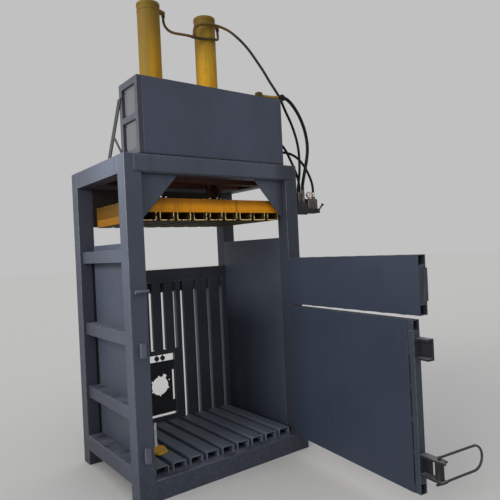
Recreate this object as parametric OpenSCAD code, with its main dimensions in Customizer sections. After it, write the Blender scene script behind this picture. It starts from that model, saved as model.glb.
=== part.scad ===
// Vertical baling press with two cylinders, a slatted chamber and two swing doors.
// Origin: on the floor, mid width, on the centre line of the front posts.
// +X to the right, +Y to the rear, +Z up.

/* [Frame] */
// Width over the posts
frame_w = 1425; // [1300:5:1600]
// Depth over the posts
frame_d = 990; // [940:5:1200]
// Height of the frame
frame_h = 2200; // [2150:5:2400]
// Post section along X
post_w = 115; // [100:1:130]
// Post section along Y
post_d = 110; // [100:1:125]
// Wall of posts and beams
post_t = 8; // [5:0.5:12]
// Height of the front and rear base beams
base_h = 132; // [110:1:150]
// Height of the top ring beams
top_h = 118; // [100:1:140]
// Height of the side rails above the floor
rail_z = 115; // [90:1:125]
// Height of the side rails
rail_h = 110; // [90:1:130]
// Thickness of the cover plate on the front top beam
cover_t = 8; // [5:1:12]
// Height of the cover plate
cover_h = 100; // [70:1:110]
// Overlap of the cover plate on each post
cover_lap = 52; // [30:1:80]
// Gusset leg along the beam
gusset_w = 265; // [200:5:300]
// Gusset leg along the post
gusset_h = 290; // [220:5:330]
// Gusset thickness
gusset_t = 10; // [6:1:16]

/* [Chamber] */
// Thickness of the wall plates
wall_t = 8; // [5:0.5:12]
// Top edge of the side walls
side_top = 1645; // [1600:5:1700]
// Top edge of the rear wall
rear_top = 1434; // [1400:2:1500]
// Height of the plain band at the top of the rear wall
band_h = 104; // [80:1:120]
// Height of the wall ribs
rib_h = 85; // [70:1:100]
// Set-back of the side ribs from the posts' outer faces
rib_inset = 25; // [10:1:40]
// Sheet thickness of ribs and slats
rib_t = 6; // [4:0.5:8]
// Number of floor slats
slat_n = 9; // [7:1:9]
// Gap between the outer floor slats and the side walls
slat_side_gap = 28.5; // [15:0.5:40]
// Width of a floor slat
slat_w = 98; // [80:1:105]
// Height of a floor slat
slat_h = 53; // [40:1:60]
// Width of the floor bearers
bearer_w = 60; // [40:1:80]
// Width of the strap slots in the rear wall
slot_w = 30; // [16:1:34]
// Depth of the folded rear slats
rear_slat_d = 34; // [20:1:40]
// Depth of the stiffer rear slats beside the window and at the right
rear_slat_deep = 50; // [40:1:54]
// Pitch of the slots left of the window's edge
narrow_pitch = 111; // [105:1:114]
// Pitch of the slots right of it
wide_pitch = 132; // [120:1:134]
// Top of the window low in the rear wall
window_top = 730; // [700:2:780]
// Diameter of the round hole in the window plate
hole_d = 150; // [120:2:180]

/* [Head] */
// Gap between the head cabinet and the crown plates
head_gap = 36; // [20:1:60]
// Height of the head cabinet
head_h = 505; // [470:5:560]
// Set-back of the cabinet from the posts' front faces
head_inset = 10; // [0:1:30]
// Section of the cabinet's tubes
head_tube = 40; // [30:1:50]
// Wall of the cabinet's tubes
head_tube_t = 3; // [2:0.5:5]
// Cabinet sheet thickness
sheet_t = 3; // [2:0.5:5]
// Set-back of the cabinet's end panels
panel_inset = 22; // [10:1:30]
// Width of the slanted braces
brace_w = 50; // [30:1:60]
// Height of a brace's upper end above the crown
brace_rise = 415; // [380:5:440]
// Reach of a brace behind the cabinet
brace_reach = 235; // [200:5:300]

/* [Cylinders] */
// Distance between the cylinders
cyl_gap = 494; // [460:2:540]
// Outer diameter of a barrel
barrel_d = 168; // [160:1:180]
// Bore of a barrel
bore_d = 140; // [125:1:145]
// Rod diameter
rod_d = 100; // [80:1:105]
// Height of the barrels above their flanges' seat
barrel_h = 1145; // [1145:5:1300]
// Height of an end cap
cap_h = 60; // [50:1:80]
// Piston height
piston_h = 80; // [60:1:100]
// Mounting flange diameter
flange_d = 260; // [240:2:280]
// Mounting flange thickness
flange_t = 28; // [20:1:36]
// Thickness of the crown plates
crown_t = 25; // [16:1:32]
// Width of the crown beams
crown_w = 65; // [50:1:80]
// Bolts in a mounting flange
flange_bolts_n = 8; // [6:1:10]

/* [Platen] */
// Gap between the platen and each side wall
platen_side_gap = 22.5; // [12:0.5:40]
// Drop of the platen's lowest edge below the frame's top, at its top stop
platen_drop = 418; // [400:2:440]
// Height of the platen channels
channel_h = 56; // [44:1:60]
// Width of a platen channel
channel_w = 105; // [85:1:112]
// Height of the platen's box frame
box_h = 92; // [80:1:98]
// Plate thickness of the box frame
box_t = 10; // [6:1:14]
// Gap between platen and rear wall
platen_gap = 20; // [12:1:40]
// Gap between the gussets and the platen's front
platen_front_gap = 32; // [20:1:50]

/* [Doors] */
// Lower edge of the lower door
lower_z0 = 144; // [138:1:170]
// Upper edge of the lower door
lower_z1 = 1123; // [1060:1:1130]
// Lower edge of the upper door
upper_z0 = 1140; // [1136:1:1180]
// Upper edge of the upper door
upper_z1 = 1486; // [1440:2:1560]
// Gap between the doors' free ends and the left post
door_end_gap = 13; // [8:1:20]
// Gap between closed doors and posts
door_gap = 5; // [3:1:8]
// Skin thickness
skin_t = 5; // [3:0.5:6]
// Depth of the lower door's tubes
lower_deep = 50; // [40:1:55]
// Depth of the upper door's tubes
upper_deep = 65; // [50:1:70]
// Height of a door rail
door_rail = 62; // [50:1:70]
// Wall of the door tubes
door_t = 4; // [3:0.5:6]
// Opening angle of the lower door as shown
lower_open = 83; // [0:1:128]
// Opening angle of the upper door as shown
upper_open = 86; // [0:1:130]
// Hinge pin diameter
pin_d = 20; // [16:1:22]
// Outer diameter of a hinge knuckle
knuckle_d = 36; // [32:1:40]
// Length of a hinge knuckle
knuckle_h = 60; // [40:1:70]
// Thickness of a hinge lug
lug_t = 12; // [8:1:16]

/* [Latch] */
// Height of the lower latch
latch_low = 315; // [290:1:340]
// Height of the upper latch
latch_high = 965; // [940:1:985]
// Clear height between a bracket's plates
latch_clear = 96; // [90:1:110]
// Length of the lower bracket
latch_len = 150; // [146:1:165]
// Length of the upper bracket
stub_len = 95; // [60:1:110]
// Bar diameter of the hand hoop
hoop_bar = 14; // [10:1:16]
// Straight length of the hoop's arms
hoop_arm = 285; // [220:5:320]
// Width of a keeper
keeper_w = 34; // [26:1:36]
// Height of the round keeper bar
bar_z = 1330; // [1260:5:1360]

/* [Valve] */
// Length of the valve shelf
shelf_l = 255; // [250:5:300]
// Depth of the valve shelf
shelf_d = 95; // [90:1:110]
// Drop of the shelf's top below the frame's top
shelf_drop = 329; // [300:1:360]
// Lip of the shelf
shelf_lip = 42; // [30:1:60]
// Hose diameter
hose_d = 20; // [16:1:22]
// Pressure hose diameter
pressure_d = 26; // [22:1:28]

/* [Hidden] */
$fn = 64;

// Colours
slate = [0.24, 0.26, 0.31];
slate_light = [0.30, 0.32, 0.37];
ochre = [0.65, 0.48, 0.11];
primer = [0.33, 0.20, 0.15];
steel = [0.60, 0.61, 0.62];
zinc = [0.70, 0.69, 0.66];
black_rubber = [0.05, 0.05, 0.05];
dark_cast = [0.16, 0.17, 0.18];

// Overshoot of cutting bodies
eps = 1;
// Radial clearance of running fits
run_gap = 0.05;
// Clearance of static fits
seat_gap = 0.3;

// Frame lines
half_w = frame_w / 2;
in_x = half_w - post_w;
front_y = -post_d / 2;
in_front = post_d / 2;
rear_y = front_y + frame_d;
in_rear = rear_y - post_d;
floor_z = base_h + slat_h;
ring_z = frame_h - top_h;

// Rear wall: slot centres from left to right, and the window below the middle ones
window_edge = 45;
narrow_first = -484;
narrow_n = 6;
wide_first = 141;
wide_n = 4;
slot_x = concat([for (i = [0 : narrow_n - 1]) narrow_first + i * narrow_pitch],
  [for (i = [0 : wide_n - 1]) wide_first + i * wide_pitch]);
slot_count = len(slot_x);
window_first = 3;
window_left = slot_x[window_first - 1] + slot_w / 2;
slat_y = in_rear;
rear_rib_z = [rear_top - band_h - rib_h - 5, rear_top - rib_h - 4];
rear_rib_d = [60, 80];
header_h = 39;
sill_z = floor_z + 40;
shield_z = ring_z - 292;
side_rib_z = [505, 981, 1516];

// Cylinder lines
cyl_y = (in_front + in_rear) / 2;
cyl_x = cyl_gap / 2;
barrel_z = frame_h + crown_t;
cap_z = barrel_z + barrel_h;
barrel_r = barrel_d / 2;
gland_h = 55;
gland_lip_d = bore_d - 12;
gland_lip_h = 30;
crown_gap = 208;
crown_plate_l = 320;
bolt_circle = (barrel_d + flange_d) / 2;
bolt_d = 20;

// Head cabinet lines
head_y0 = front_y + head_inset;
head_y1 = cyl_y - crown_gap / 2 - crown_w - head_gap;
head_d = head_y1 - head_y0;
head_z0 = frame_h + 5;
head_z1 = frame_h + head_h;
upright_z1 = head_z1 - sheet_t;
mid_rail_z = (head_z0 + upright_z1 - head_tube) / 2;

// Floor and platen lines
slat_pitch = (2 * (in_x - slat_side_gap) - slat_w) / (slat_n - 1);
platen_w = 2 * (in_x - platen_side_gap);
platen_z = frame_h - platen_drop;
channel_inset = 2.5;
channel_pitch = (platen_w - 2 * channel_inset - channel_w) / (slat_n - 1);
gusset_y = -20;
platen_y0 = gusset_y + gusset_t + platen_front_gap;
platen_y1 = in_rear - platen_gap;
platen_l = platen_y1 - platen_y0;
box_z = platen_z + channel_h;
seat_z = box_z + box_h;
seat_t = 20;
seat_l = 260;
rod_flange_d = 200;
rod_flange_t = 25;
piston_z = cap_z - 5 - piston_h;

// Door lines, in the frame of the hinge axis with the door closed
hinge_x = in_x + 6;
hinge_y = front_y - 50;
skin_y = front_y - door_gap - skin_t - hinge_y;
skin_lap = 15;
door_len = hinge_x + in_x - door_end_gap;
stile_x = 28;
stile_w = 50;
lower_hinge_z = [lower_z0 + 150, lower_z1 - 150];
upper_hinge_z = [upper_z0 + 80, upper_z1 - 80];
hinge_z = concat(lower_hinge_z, upper_hinge_z);
knuckle_gap = 0.5;

// Latch lines, in the same frame
bracket_t = 12;
bracket_y0 = skin_y - lower_deep;
latch_tube_d = 48;
latch_pin_d = 16;
latch_reach = 115;
latch_pin_y = skin_y - lower_deep / 2;
web_len = 50;
gap_x0 = -door_len - web_len;
gap_x1 = -door_len - latch_reach + latch_tube_d / 2;
hoop_r = latch_clear / 2 + bracket_t + 4 + hoop_bar / 2;

// Valve lines
shelf_z = frame_h - shelf_drop;
shelf_y0 = -32;
shelf_t = 6;
block_x = half_w + 32;
block_l = 105;
block_h = 45;
body_x = half_w + 145;
body_l = 100;
body_h = 78;
body_d = 60;
lever_x = half_w + shelf_l + 14;
lever_z = shelf_z - 22;
lever_pin_d = 10;
lever_w = 20;

// Ports and hose routes
port_z = cap_z + 25;
boss_l = 25;
elbow_x = barrel_r + boss_l + 16;
elbow_d = 30;
// Each route is given for the sizes as drawn and follows its two ends when they move
function follow(route, start, end) = let (n = len(route) - 1)
  [for (i = [0 : n]) route[i] + start * (1 - i / n) + end * (i / n)];
cap_move = [0, cyl_y - 440, cap_z - 3370];
port_move = [cyl_x - 247, 0, 0];
wall_move = [barrel_r - 84, 0, 0];
head_move = [in_x - 597.5, head_y0 + 45, frame_h - 2200];
top_move = [in_x - 597.5, head_y0 + 45, head_z1 - 2705];
valve_move = [half_w - 712.5, 0, shelf_z - 1871];
tee = [105, 370, 3235] + cap_move;
tee_half = 25;
left_route = follow([[-122, 440, 3362], [-122, 440, 3332], [-115, 432, 3295], [-94, 418, 3262],
  [-60, 400, 3243], [-15, 380, 3236], [38, 370, 3235], [80, 370, 3235]],
  cap_move - port_move + wall_move, cap_move);
right_route = follow([[130, 370, 3235], [158, 370, 3235], [196, 352, 3236], [236, 332, 3238],
  [265, 338, 3240], [291, 349, 3246], [314, 366, 3256], [334, 386, 3270], [350, 406, 3288],
  [362, 423, 3309], [370, 436, 3335], [372, 440, 3348], [372, 440, 3362]],
  cap_move, cap_move + port_move + wall_move);
supply_route = follow([[105, 370, 3262], [105, 370, 3288], [116, 361, 3314], [148, 346, 3334],
  [195, 336, 3344], [245, 332, 3350], [300, 333, 3352], [350, 330, 3346], [406, 308, 3318],
  [464, 262, 3248], [510, 215, 3165], [548, 172, 3073], [580, 128, 2980], [610, 85, 2880],
  [640, 55, 2805], [665, 40, 2750], [708, 32, 2655], [762, 26, 2550], [800, 20, 2440],
  [815, 15, 2350], [817, 12, 2270], [811, 9, 2180], [795, 6, 2095], [780, 5, 2032],
  [780, 5, 2003]], cap_move, valve_move);
pressure_route = follow([[437, -5, 2724], [500, -5, 2724], [560, -5, 2728], [612, -4, 2737],
  [660, -2, 2742], [705, 0, 2733], [750, 0, 2704], [795, 0, 2658], [838, 0, 2598],
  [878, 1, 2515], [900, 2, 2425], [902, 2, 2345], [886, 1, 2265], [856, -2, 2170],
  [830, -4, 2085], [822, -5, 2050], [822, -5, 2022]], top_move, valve_move);
rod_side_route = follow([[612, 70, 2400], [642, 70, 2400], [685, 64, 2380], [722, 58, 2333],
  [756, 53, 2270], [790, 48, 2200], [818, 45, 2130], [830, 42, 2065], [830, 42, 2003]],
  head_move, valve_move);
return_route = follow([[612, 110, 2330], [650, 110, 2330], [710, 104, 2334], [765, 90, 2330],
  [810, 74, 2312], [850, 58, 2282], [890, 38, 2225], [920, 18, 2150], [936, 5, 2085],
  [940, 0, 2035], [940, 0, 2003]], head_move, valve_move);
hose_sides = 10;

// A box from its low corner to its high corner
module box(low, high) {
  translate(low) cube(high - low);
}

// A rectangular tube of a given outer size, open along one axis (0 = X, 1 = Y, 2 = Z)
module hollow(size, wall, axis) {
  through = [for (i = [0 : 2]) i == axis ? -eps : wall];
  difference() {
    cube(size);
    translate(through) cube(size - 2 * through);
  }
}

// The same piece mirrored to both sides of the machine
module both_sides() {
  for (side = [0, 1]) {
    mirror([side, 0, 0]) children();
  }
}

// Both cylinder places
module at_cylinders() {
  for (side = [-1, 1]) {
    translate([side * cyl_x, cyl_y, 0]) children();
  }
}

// A door's own frame: hinge axis at its origin, door closed, turned to its opening angle
module at_hinge(open) {
  translate([hinge_x, hinge_y, 0]) rotate([0, 0, open]) children();
}

// A round tube swept through a list of points
function unit(v) = v / norm(v);
function heading(p, i) = unit(p[min(i + 1, len(p) - 1)] - p[max(i - 1, 0)]);
function first_side(t) = unit(cross(t, abs(t.z) < 0.9 ? [0, 0, 1] : [0, 1, 0]));
function side_at(p, i) = i == 0
  ? first_side(heading(p, 0))
  : let (t = heading(p, i), s = side_at(p, i - 1)) unit(s - t * (s * t));
function ring_at(p, i, r) = let (t = heading(p, i), s = side_at(p, i), u = cross(t, s))
  [for (k = [0 : hose_sides - 1])
    p[i] + r * (cos(360 * k / hose_sides) * s + sin(360 * k / hose_sides) * u)];

module hose(route, d) {
  n = hose_sides;
  last = len(route) - 1;
  points = [for (i = [0 : last]) each ring_at(route, i, d / 2)];
  walls = [for (i = [0 : last - 1], k = [0 : n - 1]) let (a = i * n + k, b = i * n + (k + 1) % n)
    each [[a, a + n, b], [b, a + n, b + n]]];
  start_cap = [for (k = [0 : n - 1]) k];
  end_cap = [for (k = [n - 1 : -1 : 0]) last * n + k];
  color(black_rubber) polyhedron(points, concat(walls, [start_cap, end_cap]), convexity = 10);
}

// Frame

module post(x, y) {
  translate([x, y, 0]) difference() {
    cube([post_w, post_d, frame_h]);
    translate([post_t, post_t, -eps])
      cube([post_w - 2 * post_t, post_d - 2 * post_t, frame_h - post_t + eps]);
  }
}

module front_posts() {
  color(slate) both_sides() post(in_x, front_y);
}

module rear_posts() {
  color(slate) both_sides() post(in_x, in_rear);
}

module base_beams() {
  color(slate) for (y = [front_y, in_rear]) {
    translate([-in_x, y, 0]) hollow([2 * in_x, post_d, base_h], post_t, 0);
  }
}

module side_rails() {
  color(slate) both_sides() translate([in_x + wall_t, in_front, rail_z])
    hollow([post_w - wall_t, in_rear - in_front, rail_h], post_t, 1);
}

module top_beams() {
  color(slate) {
    for (y = [front_y, in_rear]) {
      translate([-in_x, y, ring_z]) hollow([2 * in_x, post_d, top_h], post_t, 0);
    }
    both_sides() translate([in_x, in_front, ring_z])
      hollow([post_w, in_rear - in_front, top_h], post_t, 1);
  }
}

module front_cover_plate() {
  x = in_x + cover_lap;
  color(slate) box([-x, front_y - cover_t, ring_z + 8], [x, front_y, ring_z + 8 + cover_h]);
}

// A triangular plate with blunt tips, in the corner of a post and the front top beam
module corner_gussets() {
  tip = 14;
  color(slate_light) both_sides() translate([in_x, gusset_y + gusset_t, ring_z]) rotate([90, 0, 0])
    linear_extrude(gusset_t)
      polygon([[0, 0], [-gusset_w, 0], [-gusset_w, -tip], [-tip, -gusset_h], [0, -gusset_h]]);
}

// Chamber

module side_walls() {
  color(slate_light) both_sides()
    box([in_x, in_front, rail_z], [in_x + wall_t, in_rear, side_top]);
}

// Channel ribs with their open side against the wall plate
module side_wall_ribs() {
  depth = post_w - wall_t - rib_inset;
  color(slate) both_sides() for (z = side_rib_z) {
    translate([in_x + wall_t, in_front, z]) difference() {
      cube([depth, in_rear - in_front, rib_h]);
      translate([-eps, -eps, rib_t])
        cube([depth - rib_t + eps, in_rear - in_front + 2 * eps, rib_h - 2 * rib_t]);
    }
  }
}

module rear_top_band() {
  color(slate) box([-in_x, slat_y, rear_top - band_h], [in_x, slat_y + wall_t, rear_top]);
}

// One rear slat: a channel with its flanges turned to the back
module rear_slat(x0, x1, z0, z1, depth = rear_slat_d) {
  box([x0, slat_y, z0], [x1, slat_y + wall_t, z1]);
  for (x = [x0, x1 - rib_t]) box([x, slat_y, z0], [x + rib_t, slat_y + depth, z1]);
}

// Slats between the strap slots; those over the window stop at its header,
// the one beside it widens below that edge, and a sill closes the window below
module rear_slats() {
  z1 = rear_top - band_h;
  header_z = window_top + header_h;
  color(slate) {
    for (i = [0 : slot_count]) {
      left = i == 0 ? -in_x : slot_x[i - 1] + slot_w / 2;
      right = i == slot_count ? in_x : slot_x[i] - slot_w / 2;
      over_window = i >= window_first && i < narrow_n;
      rear_slat(left, right, over_window ? header_z : i == narrow_n ? window_top : base_h, z1,
        i == narrow_n || i > narrow_n + 1 ? rear_slat_deep : rear_slat_d);
      if (i == narrow_n) rear_slat(window_edge, right, base_h, window_top);
    }
    box([window_left, slat_y, window_top], [slot_x[narrow_n - 1] + slot_w / 2, slat_y + wall_t, header_z]);
    box([window_left - slot_w, slat_y, base_h], [window_edge, slat_y + wall_t, sill_z]);
  }
}

// Channel ribs behind the slats and behind the top band
module rear_ribs() {
  color(slate) for (i = [0, 1]) {
    y = i == 0 ? slat_y + rear_slat_deep : slat_y + wall_t;
    translate([-in_x, y, rear_rib_z[i]]) difference() {
      cube([2 * in_x, rear_rib_d[i], rib_h]);
      translate([-eps, -eps, rib_t])
        cube([2 * in_x + 2 * eps, rear_rib_d[i] - rib_t + eps, rib_h - 2 * rib_t]);
    }
  }
}

plate_z0 = floor_z + 60;
plate_z1 = window_top - 55;
plate_x0 = window_left + 5;
plate_x1 = window_edge - 4;
hole_x = (plate_x0 + plate_x1) / 2 + 1;
hole_z = (plate_z0 + plate_z1) / 2 + 17;

// Plate in the window, with a round hole, bolt notches and a keyway at its rim, and an upright slit
module window_plate() {
  notch_d = 16;
  notch_a = [97, 150, 210, 270, 342];
  through = wall_t + 2 * eps;
  slit = [plate_x1 - 27, plate_z0 + 100, plate_x1 - 6, plate_z1 - 81];
  color(dark_cast) difference() {
    box([plate_x0, slat_y, plate_z0], [plate_x1, slat_y + wall_t, plate_z1]);
    translate([hole_x, slat_y + wall_t + eps, hole_z]) rotate([90, 0, 0]) {
      cylinder(d = hole_d, h = through);
      for (a = notch_a) rotate(a) translate([hole_d / 2 + 4, 0, 0]) cylinder(d = notch_d, h = through);
      rotate(60) translate([hole_d / 4, -18, 0]) cube([hole_d / 4 + 25, 36, through]);
      rotate(24) translate([hole_d / 2 + 17, 0, 0]) cylinder(d = 14, h = through);
    }
    box([slit[0], slat_y - eps, slit[1]], [slit[2], slat_y + wall_t + eps, slit[3]]);
  }
}

// Two studs with round eyes that hang the plate from the header above it
module hanger_studs() {
  stud_d = wall_t;
  eye_d = 38;
  eye_t = 14;
  color(dark_cast) for (x = [hole_x - 20, hole_x + 33]) {
    translate([x, slat_y + wall_t / 2, plate_z1]) {
      cylinder(d = stud_d, h = window_top - plate_z1);
      translate([0, eye_t / 2, (window_top - plate_z1) / 2]) rotate([90, 0, 0]) cylinder(d = eye_d, h = eye_t);
    }
  }
}

// Inverted channels running front to back, with strap gaps between them
module floor_slats() {
  first = -(slat_n - 1) / 2 * slat_pitch;
  y0 = 5;
  length = in_rear - 3 - y0;
  color(slate_light) for (i = [0 : slat_n - 1]) {
    translate([first + i * slat_pitch - slat_w / 2, y0, base_h]) difference() {
      cube([slat_w, length, slat_h]);
      translate([rib_t, -eps, -eps])
        cube([slat_w - 2 * rib_t, length + 2 * eps, slat_h - rib_t + eps]);
    }
  }
}

// Cross tubes under the slats, and the pan below them that closes the base
module floor_bearers() {
  bays = 3;
  pan_t = 4;
  span = in_rear - in_front;
  color(slate) box([-in_x, in_front, base_h - bearer_w - pan_t], [in_x, in_rear, base_h - bearer_w]);
  color(slate) for (i = [1 : bays]) {
    translate([-in_x, in_front + i * span / (bays + 0.25) - bearer_w / 2, base_h - bearer_w])
      hollow([2 * in_x, bearer_w, bearer_w], rib_t, 0);
  }
}

// Yellow foot plate on the floor and the pale bar that stands on it
foot_t = 12;
foot = [[130, 167], [147, 126], [224, 151], [248, 250], [210, 282], [176, 276], [157, 228]];

module ejector_foot() {
  bar_h = 168;
  color(ochre) translate([-in_x, in_front, floor_z]) {
    linear_extrude(foot_t) polygon(foot);
    translate([182, 264, 0]) cube([20, 8, foot_t + bar_h]);
  }
}

// Crown and cylinders

module crown_beams() {
  color(primer) for (side = [-1, 1]) {
    y = cyl_y + side * (crown_gap + crown_w) / 2 - crown_w / 2;
    translate([-in_x, y, ring_z]) hollow([2 * in_x, crown_w, top_h], post_t, 0);
  }
}

// Seat plates of the cylinders, and the shield between the rear posts under the crown
module crown_plates() {
  width = crown_gap + 2 * crown_w;
  color(primer) box([-in_x, slat_y, shield_z], [in_x, slat_y + wall_t, ring_z]);
  color(primer) at_cylinders() translate([0, 0, frame_h]) difference() {
    box([-crown_plate_l / 2, -width / 2, 0], [crown_plate_l / 2, width / 2, crown_t]);
    translate([0, 0, -eps]) cylinder(d = gland_lip_d + 2 * seat_gap, h = crown_t + 2 * eps);
    bolt_ring() translate([0, 0, -eps]) cylinder(d = bolt_d + 2 * seat_gap, h = crown_t + 2 * eps);
  }
}

module bolt_ring() {
  for (k = [0 : flange_bolts_n - 1]) {
    rotate((k + 0.5) * 360 / flange_bolts_n) translate([bolt_circle / 2, 0, 0]) children();
  }
}

// A barrel with its mounting flange turned on
module barrels() {
  color(ochre) at_cylinders() translate([0, 0, barrel_z]) difference() {
    union() {
      cylinder(d = barrel_d, h = barrel_h);
      cylinder(d = flange_d, h = flange_t);
    }
    translate([0, 0, -eps]) cylinder(d = bore_d, h = barrel_h + 2 * eps);
    bolt_ring() translate([0, 0, -eps]) cylinder(d = bolt_d + 2 * seat_gap, h = flange_t + 2 * eps);
  }
}

// End cap with a proud rim, a bleed boss on top and a port boss on its right
module barrel_caps() {
  rim = 3;
  rim_h = 26;
  color(ochre) at_cylinders() translate([0, 0, cap_z]) {
    rotate_extrude() polygon([[0, 0], [barrel_r, 0], [barrel_r, cap_h - rim_h],
      [barrel_r + rim, cap_h - rim_h], [barrel_r + rim, cap_h - rim], [barrel_r, cap_h], [0, cap_h]]);
    translate([0, 0, cap_h]) cylinder(d = 34, h = 22);
    translate([0, 0, port_z - cap_z]) rotate([0, 90, 0]) cylinder(d = 40, h = barrel_r + boss_l);
  }
}

// Gland bush: a shoulder on the crown plate, a lip through it, and the rod's bore
module glands() {
  color(steel) at_cylinders() translate([0, 0, barrel_z]) difference() {
    union() {
      cylinder(d = bore_d - 2 * run_gap, h = gland_h);
      translate([0, 0, -crown_t - gland_lip_h])
        cylinder(d = gland_lip_d, h = crown_t + gland_lip_h + eps);
    }
    translate([0, 0, -crown_t - gland_lip_h - eps])
      cylinder(d = rod_d + 2 * run_gap, h = crown_t + gland_lip_h + gland_h + 2 * eps);
  }
}

// Bolts through flange and crown plate, with a head above and a nut below
module flange_bolts() {
  head_d = 34;
  head_h = 13;
  color(steel) at_cylinders() bolt_ring() {
    translate([0, 0, frame_h]) cylinder(d = bolt_d, h = crown_t + flange_t + eps);
    translate([0, 0, barrel_z + flange_t]) cylinder(d = head_d, h = head_h, $fn = 6);
  }
}

// Elbows on both ports, the tee between them and the outlet on the cabinet's top
module hose_fittings() {
  outlet = pressure_route[0];
  color(zinc) {
    for (side = [-1, 1]) {
      translate([side * cyl_x + barrel_r + boss_l, cyl_y, port_z]) {
        rotate([0, 90, 0]) cylinder(d = elbow_d, h = elbow_x - barrel_r - boss_l);
        translate([elbow_x - barrel_r - boss_l, 0, 0]) {
          sphere(d = elbow_d);
          mirror([0, 0, 1]) cylinder(d = elbow_d - 2, h = port_z - left_route[0].z);
        }
      }
    }
    translate([tee.x - tee_half, tee.y, tee.z]) rotate([0, 90, 0])
      cylinder(d = hose_d + 6, h = 2 * tee_half);
    translate(tee) cylinder(d = hose_d + 4, h = supply_route[0].z - tee.z);
    translate([outlet.x - 40, outlet.y - 20, head_z1]) cube([40, 40, 40]);
  }
}

// Head cabinet

module head_floor() {
  color(slate) box([-in_x, head_y0, frame_h], [in_x, head_y1, head_z0]);
}

module head_uprights() {
  color(slate_light) both_sides() for (y = [head_y0, head_y1 - head_tube]) {
    translate([in_x - head_tube, y, head_z0])
      hollow([head_tube, head_tube, upright_z1 - head_z0], head_tube_t, 2);
  }
}

module head_rails() {
  long = 2 * (in_x - head_tube);
  short = head_d - 2 * head_tube;
  color(slate_light) {
    for (y = [head_y0, head_y1 - head_tube], z = [head_z0, upright_z1 - head_tube]) {
      translate([-long / 2, y, z]) hollow([long, head_tube, head_tube], head_tube_t, 0);
    }
    both_sides() for (z = [head_z0, mid_rail_z, upright_z1 - head_tube]) {
      translate([in_x - head_tube, head_y0 + head_tube, z])
        hollow([head_tube, short, head_tube], head_tube_t, 1);
    }
  }
}

module head_front_panel() {
  strip = head_tube - 6;
  color(slate) box([-in_x + strip, head_y0 - sheet_t, head_z0 + 2],
    [in_x - strip, head_y0, upright_z1 - 2]);
}

module head_end_panels() {
  color(slate_light) both_sides() for (z = [head_z0, mid_rail_z]) {
    translate([in_x - panel_inset - sheet_t, head_y0 + head_tube, z + head_tube])
      cube([sheet_t, head_d - 2 * head_tube, mid_rail_z - head_z0 - head_tube]);
  }
}

module head_top_panel() {
  color(slate) box([-in_x, head_y0, upright_z1], [in_x, head_y1, head_z1]);
}

// Slanted flat bars from the cabinet's rear uprights to the side beams, each with a thin strut
module head_braces() {
  bar_t = 8;
  strut_w = 22;
  top = [head_y1 - 18, frame_h + brace_rise];
  foot_y = head_y1 + brace_reach;
  slope = (foot_y - top.x) / brace_rise;
  strut_top = [top.x + slope * 215, frame_h + brace_rise - 215];
  strut_foot = [head_y1 - 12, frame_h + 60];
  color(slate_light) both_sides() translate([in_x, 0, 0]) rotate([90, 0, 90]) linear_extrude(bar_t) {
    polygon([[top.x - brace_w / 2, top.y], [top.x + brace_w / 2, top.y],
      [foot_y + brace_w / 2, frame_h], [foot_y - brace_w / 2, frame_h]]);
    polygon([strut_top, [strut_top.x, strut_top.y - strut_w],
      [strut_foot.x, strut_foot.y - strut_w], strut_foot]);
  }
}

// Power unit: tank, motor and pump share the cabinet's inner length
inner_l = 2 * (in_x - head_tube);
unit_y = head_y0 + head_d / 2;
tank = [0.35 * inner_l, head_d - 130, head_h - 115];
tank_x = in_x - head_tube - 18 - tank.x;

// Oil tank with an open filler neck
module oil_tank() {
  tank_t = 4;
  neck_d = 70;
  neck_h = 36;
  color(slate) translate([tank_x, unit_y - tank.y / 2, head_z0]) difference() {
    union() {
      cube(tank);
      translate([90, tank.y / 2, tank.z]) cylinder(d = neck_d, h = neck_h);
    }
    translate([tank_t, tank_t, tank_t])
      cube([tank.x - 2 * tank_t, tank.y - 2 * tank_t, tank.z - 2 * tank_t]);
    translate([90, tank.y / 2, tank.z - 2 * tank_t])
      cylinder(d = neck_d - 12, h = neck_h + 4 * tank_t);
  }
}

motor_d = 0.6 * head_d;
motor_foot = 36;
motor_z = head_z0 + motor_foot + motor_d / 2;
motor_l = 0.3 * inner_l;
motor_x = -in_x + head_tube + 0.11 * inner_l;
pump_l = 0.1 * inner_l;

// Foot-mounted motor with a fan cowl, cooling ribs and a terminal box
module pump_motor() {
  rib_n = 24;
  rib_deep = 12;
  cowl_l = 0.21 * motor_l;
  shield_l = 22;
  foot_w = 50;
  foot_y = 0.35 * motor_d;
  box_l = 0.3 * motor_l;
  color(dark_cast) {
    translate([motor_x, unit_y, motor_z]) rotate([0, 90, 0]) {
      cylinder(d = motor_d - 16, h = motor_l);
      cylinder(d = motor_d, h = cowl_l);
      translate([0, 0, motor_l - shield_l]) cylinder(d = motor_d, h = shield_l);
      for (k = [0 : rib_n - 1]) {
        rotate(360 * k / rib_n) translate([motor_d / 2 - rib_deep - 2, -2, cowl_l])
          cube([rib_deep, 4, motor_l - cowl_l - shield_l]);
      }
    }
    for (x = [motor_x + 0.28 * motor_l, motor_x + 0.76 * motor_l]) {
      box([x, unit_y - foot_y, head_z0], [x + foot_w, unit_y + foot_y, head_z0 + motor_foot + 26]);
    }
    translate([motor_x + box_l, unit_y - 50, motor_z + motor_d / 2 - 14]) cube([box_l, 80, 54]);
  }
}

// Bell housing and gear pump on the motor's shaft end
module gear_pump() {
  x = motor_x + motor_l;
  bell_d = 0.88 * motor_d;
  bell_l = 0.075 * inner_l;
  block = 0.3 * motor_d;
  color(steel) {
    translate([x, unit_y, motor_z]) rotate([0, 90, 0]) {
      cylinder(d = bell_d, h = 16);
      cylinder(d = 0.75 * bell_d, h = bell_l);
    }
    box([x + bell_l - eps, unit_y - block, motor_z - block],
      [x + bell_l + pump_l, unit_y + block, motor_z + block]);
  }
}

// Valve

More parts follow.
